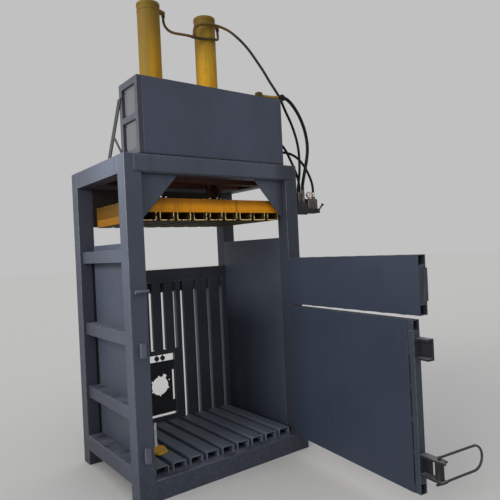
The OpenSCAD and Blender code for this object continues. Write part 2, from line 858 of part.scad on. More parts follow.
// Angle bracket on the outer face of the right front post
module valve_shelf() {
  y1 = shelf_y0 + shelf_d;
  x1 = half_w + shelf_l;
  color(slate) {
    box([half_w, shelf_y0, shelf_z - shelf_t], [x1, y1, shelf_z]);
    box([half_w, shelf_y0, shelf_z - shelf_lip], [x1 - 45, shelf_y0 + shelf_t, shelf_z]);
    box([half_w, y1 - shelf_t, shelf_z - shelf_lip], [x1 - 45, y1, shelf_z]);
    for (side = [-1, 1]) {
      y = side * (lever_w / 2 + 4);
      box([x1 - 40, y - 3, lever_z - 12], [lever_x + 12, y + 3, shelf_z - shelf_t]);
    }
    translate([lever_x, lever_w / 2 + 5, lever_z]) rotate([90, 0, 0])
      cylinder(d = lever_pin_d, h = lever_w + 10);
  }
}

module valve_block() {
  color(dark_cast) translate([block_x, shelf_y0 + 6, shelf_z])
    cube([block_l, shelf_d - 6, block_h]);
}

// Sectional spool valve with a spool nose at its right end
module valve_body() {
  y0 = -body_d / 2;
  sections = 3;
  pitch = body_l / sections;
  color(zinc) {
    box([body_x, y0 + 4, shelf_z], [body_x + body_l, y0 + body_d - 4, shelf_z + body_h]);
    for (i = [0 : sections - 1]) {
      translate([body_x + i * pitch + 3, y0, shelf_z]) cube([pitch - 6, body_d, body_h - 8]);
    }
    translate([body_x + body_l - eps, 0, shelf_z + 24]) rotate([0, 90, 0]) cylinder(d = 26, h = 18);
  }
}

ferrule_d = 30;

module ferrule(top, z0) {
  h = top.z - z0;
  translate([top.x, top.y, z0]) {
    cylinder(d = ferrule_d, h = h * 0.4, $fn = 6);
    cylinder(d = ferrule_d - 4, h = h);
  }
}

// Crimped hose ends on the valve and bulkhead nuts on the cabinet's end panel
module hose_ferrules() {
  block_top = shelf_z + block_h;
  panel_x = in_x - panel_inset;
  color(zinc) {
    for (route = [supply_route, pressure_route, rod_side_route]) {
      ferrule(route[len(route) - 1], block_top);
    }
    ferrule(return_route[len(return_route) - 1], shelf_z + body_h);
    for (route = [rod_side_route, return_route]) {
      translate([panel_x, route[0].y, route[0].z]) rotate([0, 90, 0]) {
        cylinder(d = ferrule_d + 4, h = 12, $fn = 6);
        cylinder(d = ferrule_d - 4, h = route[0].x - panel_x);
      }
    }
  }
}

// Hand lever between the shelf's ears, on their cross pin, with a round knob
module valve_lever() {
  arm = 84;
  rise = 44;
  color(dark_cast) translate([lever_x, 0, lever_z]) rotate([90, 0, 0]) difference() {
    union() {
      translate([0, 0, -lever_w / 2]) cylinder(d = 22, h = lever_w);
      rotate(rise) {
        translate([0, -5, -5]) cube([arm, 10, 10]);
        translate([arm, 0, 0]) sphere(d = 22);
      }
    }
    translate([0, 0, -lever_w / 2 - eps])
      cylinder(d = lever_pin_d + 2 * run_gap, h = lever_w + 2 * eps);
  }
}

// Keepers and hinges

// Hook blocks for the lower door and a round bar on studs for the upper one, on the left front post
module door_keepers() {
  mid_x = hinge_x + (gap_x0 + gap_x1) / 2;
  tall = latch_clear - 8;
  plate_t = 12;
  stand = 40;
  web = 18;
  bar_d = 22;
  bar_y = front_y - 17;
  bar_x0 = -half_w + 28;
  bar_x1 = -in_x + door_end_gap - 8;
  color(slate) {
    for (z = [latch_low, latch_high]) {
      box([mid_x - keeper_w / 2, front_y - stand, z - tall / 2],
        [mid_x + keeper_w / 2, front_y - stand + plate_t, z + tall / 2]);
      box([mid_x - web / 2, front_y - stand, z - tall / 2], [mid_x + web / 2, front_y, z + tall / 2]);
    }
    translate([bar_x0, bar_y, bar_z]) rotate([0, 90, 0]) cylinder(d = bar_d, h = bar_x1 - bar_x0);
    for (x = [bar_x0 + 18, bar_x1 - 40]) {
      translate([x, front_y, bar_z]) rotate([90, 0, 0]) cylinder(d = 12, h = front_y - bar_y);
    }
  }
}

// Lug arms from the right front post to the hinge axis, above and below each knuckle
module hinge_lugs() {
  root_x0 = 36;
  root_x1 = 96;
  eye_r = 22;
  reach = front_y - hinge_y;
  color(slate) translate([hinge_x, hinge_y, 0]) for (z = hinge_z, side = [-1, 1]) {
    z0 = z + side * (knuckle_h / 2 + knuckle_gap + lug_t / 2) - lug_t / 2;
    translate([0, 0, z0]) difference() {
      union() {
        cylinder(r = eye_r, h = lug_t);
        linear_extrude(lug_t) polygon([[-0.66 * eye_r, 0.74 * eye_r], [0.6 * eye_r, -0.78 * eye_r],
          [root_x1, reach - 4], [root_x1, reach], [root_x0, reach]]);
      }
      translate([0, 0, -eps]) cylinder(d = pin_d + 2 * run_gap, h = lug_t + 2 * eps);
    }
  }
}

module hinge_pins() {
  half = knuckle_h / 2 + knuckle_gap + lug_t;
  head_h = 8;
  color(steel) translate([hinge_x, hinge_y, 0]) for (z = hinge_z) {
    translate([0, 0, z - half - 6]) cylinder(d = pin_d, h = 2 * half + 6 + head_h / 2);
    translate([0, 0, z + half]) cylinder(d = pin_d + 10, h = head_h);
  }
}

// Doors, in the frame of the hinge axis with the door closed

module door_skin(z0, z1, bare = 0) {
  color(slate_light) box([bare - door_len, skin_y, z0], [skin_lap, skin_y + skin_t, z1]);
}

// Top and bottom rails run the full length with open ends; inner rails sit between the stiles
module door_rails(z0, z1, deep, inner) {
  length = door_len - stile_x;
  inner_x = stile_x + stile_w;
  inner_l = length - 2 * stile_w;
  color(slate) translate([0, skin_y - deep, 0]) {
    for (z = [z0, z1 - door_rail]) {
      translate([-door_len, 0, z]) hollow([length, deep, door_rail], door_t, 0);
    }
    for (z = inner) {
      translate([-inner_x - inner_l, 0, z - door_rail / 2]) hollow([inner_l, deep, door_rail], door_t, 0);
    }
  }
}

// Stiles between the rails; the hinge stile carries the knuckles on short leaves
module door_stiles(z0, z1, deep, knuckles) {
  height = z1 - z0 - 2 * door_rail;
  leaf_t = 10;
  color(slate) {
    for (x = [-door_len, -stile_x - stile_w]) {
      translate([x, skin_y - deep, z0 + door_rail]) hollow([stile_w, deep, height], door_t, 2);
    }
    for (z = knuckles) {
      translate([0, 0, z - knuckle_h / 2]) difference() {
        union() {
          cylinder(d = knuckle_d, h = knuckle_h);
          box([-stile_x, -leaf_t / 2, 0], [-knuckle_d / 4, leaf_t / 2, knuckle_h]);
        }
        translate([0, 0, -eps]) cylinder(d = pin_d + 2 * run_gap, h = knuckle_h + 2 * eps);
      }
    }
  }
}

lower_third = (lower_z1 - lower_z0) / 3;
lower_inner = [lower_z0 + lower_third, lower_z1 - lower_third];

module upper_door_skin() {
  at_hinge(upper_open) door_skin(upper_z0, upper_z1);
}

module upper_door_rails() {
  at_hinge(upper_open) door_rails(upper_z0, upper_z1, upper_deep, []);
}

// The free stile of the upper door carries a tapered latch plate
module upper_door_stiles() {
  plate_t = 10;
  z0 = upper_z0 + door_rail + 18;
  z1 = upper_z1 - door_rail - 14;
  y0 = skin_y - upper_deep;
  at_hinge(upper_open) {
    door_stiles(upper_z0, upper_z1, upper_deep, upper_hinge_z);
    color(slate) translate([-door_len - plate_t, 0, 0]) rotate([90, 0, 90]) linear_extrude(plate_t)
      polygon([[y0, z0], [y0 + 36, z0], [y0 + 16, z1], [y0, z1]]);
  }
}

module lower_door_skin() {
  at_hinge(lower_open) door_skin(lower_z0, lower_z1, stile_w - 8);
}

module lower_door_rails() {
  at_hinge(lower_open) door_rails(lower_z0, lower_z1, lower_deep, lower_inner);
}

module lower_door_stiles() {
  at_hinge(lower_open) door_stiles(lower_z0, lower_z1, lower_deep, lower_hinge_z);
}

// A channel bracket on the door's free end: two plates and a web on the outer side
module bracket(length, pointed, web) {
  y1 = bracket_y0 + lower_deep;
  half = latch_clear / 2;
  for (side = [-1, 1]) {
    translate([0, 0, side * (half + bracket_t / 2) - bracket_t / 2]) linear_extrude(bracket_t)
      if (pointed && side > 0) {
        polygon([[-door_len, bracket_y0], [-door_len, y1], [-door_len - length + 16, y1],
          [-door_len - length - 22, y1 - 12], [-door_len - length, y1 - 22],
          [-door_len - length, bracket_y0]]);
      } else {
        polygon([[-door_len, bracket_y0], [-door_len, y1], [-door_len - length, y1],
          [-door_len - length, bracket_y0]]);
      }
  }
  box([-door_len - web, bracket_y0, -half], [-door_len, bracket_y0 + bracket_t, half]);
}

// The lower bracket holds the upright tube in which the hoop turns
module latch_brackets() {
  half = latch_clear / 2 + bracket_t;
  color(slate) at_hinge(lower_open) {
    translate([0, 0, latch_high]) bracket(stub_len, false, stub_len);
    translate([0, 0, latch_low]) difference() {
      union() {
        bracket(latch_len, true, web_len);
        translate([-door_len - latch_reach, latch_pin_y, -half])
          cylinder(d = latch_tube_d, h = 2 * half);
      }
      translate([-door_len - latch_reach, latch_pin_y, -half - eps])
        cylinder(d = latch_pin_d + 2 * run_gap, h = 2 * half + 2 * eps);
    }
  }
}

// D-shaped hand hoop: two arms, a half-round end, and the rod that turns in the bracket's tube
module latch_hoop() {
  color(steel) at_hinge(lower_open) translate([-door_len - latch_reach, latch_pin_y, latch_low]) {
    translate([0, 0, -hoop_r]) cylinder(d = latch_pin_d, h = 2 * hoop_r);
    for (side = [-1, 1]) {
      translate([0, 0, side * hoop_r]) {
        sphere(d = latch_pin_d + 2);
        rotate([90, 0, 0]) cylinder(d = hoop_bar, h = hoop_arm);
      }
    }
    translate([0, 0, -hoop_r]) rotate([-90, 0, 0]) cylinder(d = hoop_bar, h = 26);
    translate([0, -hoop_arm, 0]) rotate([0, 90, 0]) rotate([0, 0, 180])
      rotate_extrude(angle = 180) translate([hoop_r, 0]) circle(d = hoop_bar);
  }
}

// Platen

// Box frame with an open top: floor plate, walls, cross ribs and seats for the rod flanges
module platen_frame() {
  x = platen_w / 2;
  rib_x = [-cyl_x - 90, -cyl_x + 90, cyl_x - 90, cyl_x + 90];
  color(ochre) {
    difference() {
      box([-x, platen_y0, box_z], [x, platen_y1, seat_z]);
      box([-x + box_t, platen_y0 + box_t, box_z + box_t],
        [x - box_t, platen_y1 - box_t, seat_z + eps]);
    }
    for (rx = rib_x) {
      box([rx - box_t / 2, platen_y0, box_z], [rx + box_t / 2, platen_y1, seat_z]);
    }
    for (side = [-1, 1]) {
      y = cyl_y + side * 100;
      box([-x, y - box_t / 2, box_z], [x, y + box_t / 2, seat_z]);
    }
    at_cylinders() translate([-seat_l / 2, -seat_l / 2, seat_z - eps])
      cube([seat_l, seat_l, seat_t + eps]);
  }
}

// Open-ended channels under the box frame, over the strap gaps of the floor
module platen_channels() {
  first = -(slat_n - 1) / 2 * channel_pitch;
  color(ochre) for (i = [0 : slat_n - 1]) {
    translate([first + i * channel_pitch - channel_w / 2, platen_y0, platen_z]) difference() {
      cube([channel_w, platen_l, channel_h]);
      translate([rib_t, -eps, rib_t])
        cube([channel_w - 2 * rib_t, platen_l + 2 * eps, channel_h]);
    }
  }
}

module rods() {
  z0 = seat_z + seat_t;
  color(steel) at_cylinders() {
    translate([0, 0, z0]) cylinder(d = rod_d, h = piston_z - z0);
    translate([0, 0, z0]) cylinder(d = rod_flange_d, h = rod_flange_t);
  }
}

// Pistons with two seal grooves
module pistons() {
  groove = 8;
  color(steel) at_cylinders() translate([0, 0, piston_z]) difference() {
    cylinder(d = bore_d - 2 * run_gap, h = piston_h);
    for (z = [piston_h * 0.25, piston_h * 0.65]) {
      translate([0, 0, z]) difference() {
        cylinder(d = bore_d, h = groove);
        translate([0, 0, -eps]) cylinder(d = bore_d - 12, h = groove + 2 * eps);
      }
    }
  }
}

module hose_left() { hose(left_route, hose_d); }
module hose_right() { hose(right_route, hose_d); }
module hose_supply() { hose(supply_route, hose_d); }
module hose_pressure() { hose(pressure_route, pressure_d); }
module hose_rod_side() { hose(rod_side_route, hose_d); }
module hose_return() { hose(return_route, hose_d); }

front_posts();
rear_posts();
base_beams();
side_rails();
floor_bearers();
floor_slats();
top_beams();
front_cover_plate();
corner_gussets();
side_walls();
side_wall_ribs();
rear_top_band();
rear_slats();
rear_ribs();
window_plate();
hanger_studs();
crown_beams();
crown_plates();
barrels();
barrel_caps();
glands();
flange_bolts();
hose_fittings();
head_floor();
head_uprights();
head_rails();
head_front_panel();
head_end_panels();
head_top_panel();
head_braces();
oil_tank();
pump_motor();
gear_pump();
valve_shelf();
valve_block();
valve_body();
hose_ferrules();
door_keepers();
hinge_lugs();
hinge_pins();
ejector_foot();
hose_left();
hose_right();
hose_supply();
hose_pressure();
hose_rod_side();
hose_return();
platen_frame();
platen_channels();
rods();
pistons();
upper_door_skin();
upper_door_rails();
upper_door_stiles();
lower_door_skin();
lower_door_rails();
lower_door_stiles();
latch_brackets();
latch_hoop();
valve_lever();
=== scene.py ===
"""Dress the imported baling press: paint, rubbed edges, welds, bolts, hoses and a plain studio."""
import logging
import math
from dataclasses import dataclass
from enum import Enum
from typing import Any, Iterable, Sequence

import bmesh
import bpy
from mathutils import Matrix, Vector


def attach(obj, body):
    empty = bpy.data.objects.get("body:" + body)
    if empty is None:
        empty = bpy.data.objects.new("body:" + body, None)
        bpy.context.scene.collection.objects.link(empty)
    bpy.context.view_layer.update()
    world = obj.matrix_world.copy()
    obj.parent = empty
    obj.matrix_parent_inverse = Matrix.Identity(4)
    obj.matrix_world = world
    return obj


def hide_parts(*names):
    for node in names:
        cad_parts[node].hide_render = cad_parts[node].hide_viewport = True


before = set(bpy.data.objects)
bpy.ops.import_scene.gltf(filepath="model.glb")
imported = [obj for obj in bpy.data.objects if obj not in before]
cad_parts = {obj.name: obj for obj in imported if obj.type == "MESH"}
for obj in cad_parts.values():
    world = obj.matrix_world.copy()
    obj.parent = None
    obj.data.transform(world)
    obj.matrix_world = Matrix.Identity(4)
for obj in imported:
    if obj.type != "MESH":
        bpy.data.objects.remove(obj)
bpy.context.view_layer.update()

LOG = logging.getLogger("baling_press")
EDGE_LAYER = "edge"
AXIS_LAYER = "axis"
Point = tuple[float, float, float]
Pair = tuple[float, float]
Tone = tuple[int, int, int]
Line = list[Point]
Socket = bpy.types.NodeSocket
Mesh = bpy.types.Mesh
Piece = bpy.types.Object
UP: Point = (0.0, 0.0, 1.0)
MM = 0.001
HEX = 6
SIDES = (-1.0, 1.0)


class Body(Enum):
    """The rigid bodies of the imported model."""

    FRAME = "frame"
    PLATEN = "platen"
    UPPER_DOOR = "upper_door"
    LOWER_DOOR = "lower_door"
    LATCH_HOOP = "latch_hoop"
    VALVE_LEVER = "valve_lever"


class Scuff(Enum):
    """The way that rub marks run on a surface, as a stretch for each axis."""

    NONE = (0.0, 0.0, 0.0)
    ACROSS = (2.0, 2.0, 70.0)
    UPRIGHT = (60.0, 60.0, 1.6)


class Axis(Enum):
    """An axis of the part's frame, by the name of its socket."""

    X = "X"
    Y = "Y"
    Z = "Z"


class Round(Enum):
    """How wide a piece's sharp edges are rounded, in metres."""

    SHEET = 0.0008
    SMALL = 0.001
    PANEL = 0.0012
    PLATE = 0.0015
    RIB = 0.0018
    BLOCK = 0.002
    TUBE = 0.007


class Grain(Enum):
    """The noises behind a finish, as features per metre and octaves."""

    FINE = (48.0, 4.0)
    GLOSS = (14.0, 3.0)
    RIM = (5.0, 3.0)
    WAVES = (5.0, 1.0)
    STREAKS = (1.0, 3.0)
    RUBS = (1.0, 2.0)
    RUB_PATCHES = (3.1, 2.0)
    SPECKLES = (85.0, 2.0)
    DUST = (9.0, 4.0)


class Fade(Enum):
    """The limits of a noise or slope between which a layer of a finish fades in."""

    DRIFT = (0.36, 0.66)
    RIM = (0.56, 0.68)
    STREAKS = (0.52, 0.74)
    RUBS = (0.64, 0.70)
    RUB_PATCHES = (0.48, 0.62)
    SPECKLES = (0.63, 0.70)
    SPLASH = (0.2, 0.6)
    DUST_SLOPE = (0.35, 0.95)
    DUST = (0.25, 0.65)
    WEAR = (0.42, 0.56)


@dataclass(frozen=True)
class Zone:
    """A second tone over one end of a piece, such as grime at the top, a coated foot, painted shade or a
    painted highlight.
    """

    tone: Tone
    axis: Axis
    start: float
    full: float
    share: float = 1.0
    coats_metal: bool = False


def linear(tone: Tone) -> tuple[float, float, float, float]:
    """Turn a display tone into a linear colour, by the usual display curve, with an alpha of 1."""
    parts = [value / 255.0 for value in tone]
    return *(p / 12.92 if p <= 0.04045 else ((p + 0.055) / 1.055) ** 2.4 for p in parts), 1.0


class Wiring:
    """A node tree with a short way to add and join nodes."""

    def __init__(self, tree: bpy.types.NodeTree) -> None:
        """Work on a tree."""
        self.tree = tree

    def feed(self, node: bpy.types.Node, inputs: dict[str | int, Any]) -> None:
        """Link or set a node's inputs.

        Args:
            node: the node.
            inputs: a value or another node's output for each input.
        """
        for key, value in inputs.items():
            if isinstance(value, Socket):
                self.tree.links.new(value, node.inputs[key])
            else:
                node.inputs[key].default_value = value

    def add(self, kind: str, inputs: dict[str | int, Any] | None = None, **choices: Any) -> bpy.types.Node:
        """Add a node and set it up.

        Args:
            kind: the node's type.
            inputs: a value or another node's output for each input.
            choices: the node's own settings.

        Returns:
            The node.
        """
        node = self.tree.nodes.new(kind)
        for key, value in choices.items():
            setattr(node, key, value)
        self.feed(node, inputs or {})
        return node

    def shown_rays(self) -> Socket:
        """Find the rays that show the background: the camera's, and those off or through a surface.

        Returns:
            A socket that gives 1 for such a ray, and 0 for light that falls on a matt surface.
        """
        rays = self.add("ShaderNodeLightPath").outputs
        shown = rays["Is Camera Ray"]
        for kind in ("Is Glossy Ray", "Is Transmission Ray"):
            larger = self.add("ShaderNodeMath", {0: shown, 1: rays[kind]}, operation="MAXIMUM")
            shown = larger.outputs["Value"]
        return shown


class ShaderTree(Wiring):
    """A material's nodes, with short ways to add what the finishes need."""

    def __init__(self, name: str) -> None:
        """Start a material with a shader and an output.

        Args:
            name: the material's name.
        """
        self.material = bpy.data.materials.new(name)
        self.material.use_nodes = True
        super().__init__(self.material.node_tree)
        self.tree.nodes.clear()
        self.shader = self.add("ShaderNodeBsdfPrincipled")
        self.add("ShaderNodeOutputMaterial", {"Surface": self.shader.outputs["BSDF"]})
        self.coords = self.add("ShaderNodeTexCoord").outputs["Object"]

    def noise(self, scale: float, detail: float, stretch: Point | None = None) -> Socket:
        """Add a noise over the piece's own coordinates.

        Args:
            scale: features per metre.
            detail: octaves of the noise.
            stretch: a scale for each axis, for streaks and rub marks.

        Returns:
            The noise's value.
        """
        place = self.coords
        if stretch is not None:
            place = self.add("ShaderNodeMapping", {"Vector": place, "Scale": stretch}).outputs["Vector"]
        sizes = {"Vector": place, "Scale": scale, "Detail": detail}
        return self.add("ShaderNodeTexNoise", sizes).outputs["Fac"]

    def fade(self, value: Socket, limits: Fade, top: float = 1.0) -> Socket:
        """Map a value smoothly from between a fade's limits to between 0 and a top value."""
        return self.step(value, *limits.value, top)

    def step(self, value: Socket, low: float, high: float, top: float = 1.0) -> Socket:
        """Map a value smoothly from between two limits to between 0 and a top value."""
        sizes = {"Value": value, "From Min": low, "From Max": high, "To Min": 0.0, "To Max": top}
        return self.add("ShaderNodeMapRange", sizes, interpolation_type="SMOOTHSTEP").outputs["Result"]

    def span(self, value: Socket, first: float, last: float) -> Socket:
        """Map a value evenly from between 0 and 1 to between two limits."""
        sizes = {"Value": value, "To Min": first, "To Max": last}
        return self.add("ShaderNodeMapRange", sizes).outputs["Result"]

    def times(self, first: Socket, second: Socket) -> Socket:
        """Multiply two values."""
        return self.add("ShaderNodeMath", {0: first, 1: second}, operation="MULTIPLY").outputs["Value"]

    def blend(self, share: Socket, under: Socket | Tone, over: Tone) -> Socket:
        """Lay a tone over a colour or a tone by a share from 0 to 1."""
        below = linear(under) if isinstance(under, tuple) else under
        return self.add("ShaderNodeMix", {0: share, 6: below, 7: linear(over)}, data_type="RGBA").outputs[2]

    def along(self, axis: Axis, vector: Socket | None = None) -> Socket:
        """Give a vector's part along one axis, or a point's place on it in metres."""
        split = {"Vector": self.coords if vector is None else vector}
        return self.add("ShaderNodeSeparateXYZ", split).outputs[axis.value]

    def bump(self, height: Socket, strength: float, distance: float) -> None:
        """Add relief to the shader's normal, on top of any that is there.

        Args:
            height: the relief's height.
            strength: how strongly it shows.
            distance: its depth in metres.
        """
        sizes = {"Height": height, "Strength": strength, "Distance": distance}
        for link in self.shader.inputs["Normal"].links:
            sizes["Normal"] = link.from_socket
        self.feed(self.shader, {"Normal": self.add("ShaderNodeBump", sizes).outputs["Normal"]})


@dataclass(frozen=True)
class Finish:
    """One paint or metal, with the drift, streaks, dust and wear that it shows, and the painted shade or
    highlight of some zones.
    """

    name: str
    slot: str
    tone: Tone
    drift_tone: Tone
    drift: float = 0.6
    drift_scale: float = 2.2
    drift_detail: float = 4.0
    roughness: float = 0.5
    rough_drift: float = 0.18
    metallic: float = 0.0
    dust: float = 0.16
    dust_tone: Tone = (134, 127, 116)
    splash: float = 0.0
    splash_tone: Tone = (34, 36, 42)
    zones: tuple[Zone, ...] = ()
    rim_tone: Tone | None = None
    rim_span: Pair = (0.0, 1.0)
    specular: float = 0.3
    wear: float = 0.3
    wear_tone: Tone = (124, 127, 134)
    streak: float = 0.2
    streak_tone: Tone = (44, 47, 56)
    streak_stretch: Point = (26.0, 26.0, 1.1)
    scuff: Scuff = Scuff.NONE
    scuff_share: float = 0.3
    speckle: float = 0.0
    speckle_tone: Tone = (40, 30, 22)
    splash_span: Pair = (0.55, 0.02)
    grain_scale: float = 260.0
    grain_detail: float = 2.0
    grain: float = 0.12
    grain_depth: float = 0.0006
    waves: float = 0.05
    wave_depth: float = 0.02

    def material(self) -> bpy.types.Material:
        """Build this finish once, and give the same material each time after.

        Returns:
            The material.
        """
        ready = bpy.data.materials.get(self.name)
        if ready is not None:
            return ready
        tree = ShaderTree(self.name)
        metal: Socket | float = self.metallic
        drifted = tree.fade(tree.noise(self.drift_scale, self.drift_detail), Fade.DRIFT, self.drift)
        colour = tree.blend(drifted, self.tone, self.drift_tone)
        for zone in self.zones:
            share = tree.step(tree.along(zone.axis), zone.start, zone.full, zone.share)
            colour = tree.blend(share, colour, zone.tone)
            if zone.coats_metal:
                metal = tree.span(share, self.metallic, 0.0)
        for share, tone in self.marks(tree):
            colour = tree.blend(share, colour, tone)
        half = self.rough_drift / 2
        rough = tree.span(tree.noise(*Grain.GLOSS.value), self.roughness - half, self.roughness + half)
        tree.feed(tree.shader, {"Base Color": colour, "Roughness": rough, "Metallic": metal,
                                "Specular IOR Level": self.specular})
        if self.waves:
            tree.bump(tree.noise(*Grain.WAVES.value), self.waves, self.wave_depth)
        tree.bump(tree.noise(self.grain_scale, self.grain_detail), self.grain, self.grain_depth)
        return tree.material

    def marks(self, tree: ShaderTree) -> list[tuple[Socket, Tone]]:
        """List what lies on the paint, from the lowest layer to the top.

        Args:
            tree: the material's nodes.

        Returns:
            Each layer's share and tone.
        """
        layers: list[tuple[Socket, Tone]] = []
        fine = tree.noise(*Grain.FINE.value)
        if self.rim_tone is not None:
            rim = tree.step(tree.along(Axis.Z), *self.rim_span)
            patches = tree.fade(tree.noise(*Grain.RIM.value), Fade.RIM)
            layers.append((tree.times(rim, patches), self.rim_tone))
        if self.streak:
            run = tree.noise(*Grain.STREAKS.value, self.streak_stretch)
            layers.append((tree.fade(run, Fade.STREAKS, self.streak), self.streak_tone))
        if self.scuff is not Scuff.NONE:
            rub = tree.fade(tree.noise(*Grain.RUBS.value, self.scuff.value), Fade.RUBS, self.scuff_share)
            patches = tree.fade(tree.noise(*Grain.RUB_PATCHES.value), Fade.RUB_PATCHES)
            layers.append((tree.times(rub, patches), self.wear_tone))
        if self.speckle:
            dots = tree.fade(tree.noise(*Grain.SPECKLES.value), Fade.SPECKLES, self.speckle)
            layers.append((dots, self.speckle_tone))
        if self.splash:
            low = tree.step(tree.along(Axis.Z), *self.splash_span, self.splash)
            layers.append((tree.times(low, tree.fade(fine, Fade.SPLASH)), self.splash_tone))
        if self.dust:
            upward = tree.along(Axis.Z, tree.add("ShaderNodeNewGeometry").outputs["Normal"])
            lying = tree.fade(upward, Fade.DUST_SLOPE, self.dust)
            patches = tree.fade(tree.noise(*Grain.DUST.value), Fade.DUST)
            layers.append((tree.times(lying, patches), self.dust_tone))
        if self.wear:
            edge = tree.add("ShaderNodeAttribute", attribute_name=EDGE_LAYER).outputs["Fac"]
            layers.append((tree.times(edge, tree.fade(fine, Fade.WEAR, self.wear)), self.wear_tone))
        return layers


@dataclass(frozen=True)
class SmallFinish(Finish):
    """The finish of small parts, with no streaks or waves."""

    streak: float = 0.0
    waves: float = 0.0


@dataclass(frozen=True)
class CleanFinish(SmallFinish):
    """The finish of small parts with no dust or wear either."""

    dust: float = 0.0
    wear: float = 0.0


@dataclass(frozen=True)
class HoseFinish(CleanFinish):
    """A hose's black cover."""

    slot: str = "hose_rubber"
    tone: Tone = (15, 15, 16)
    drift_tone: Tone = (21, 21, 22)
    roughness: float = 0.55
    specular: float = 0.2
    dust: float = 0.12
    grain_scale: float = 900.0
    grain: float = 0.25


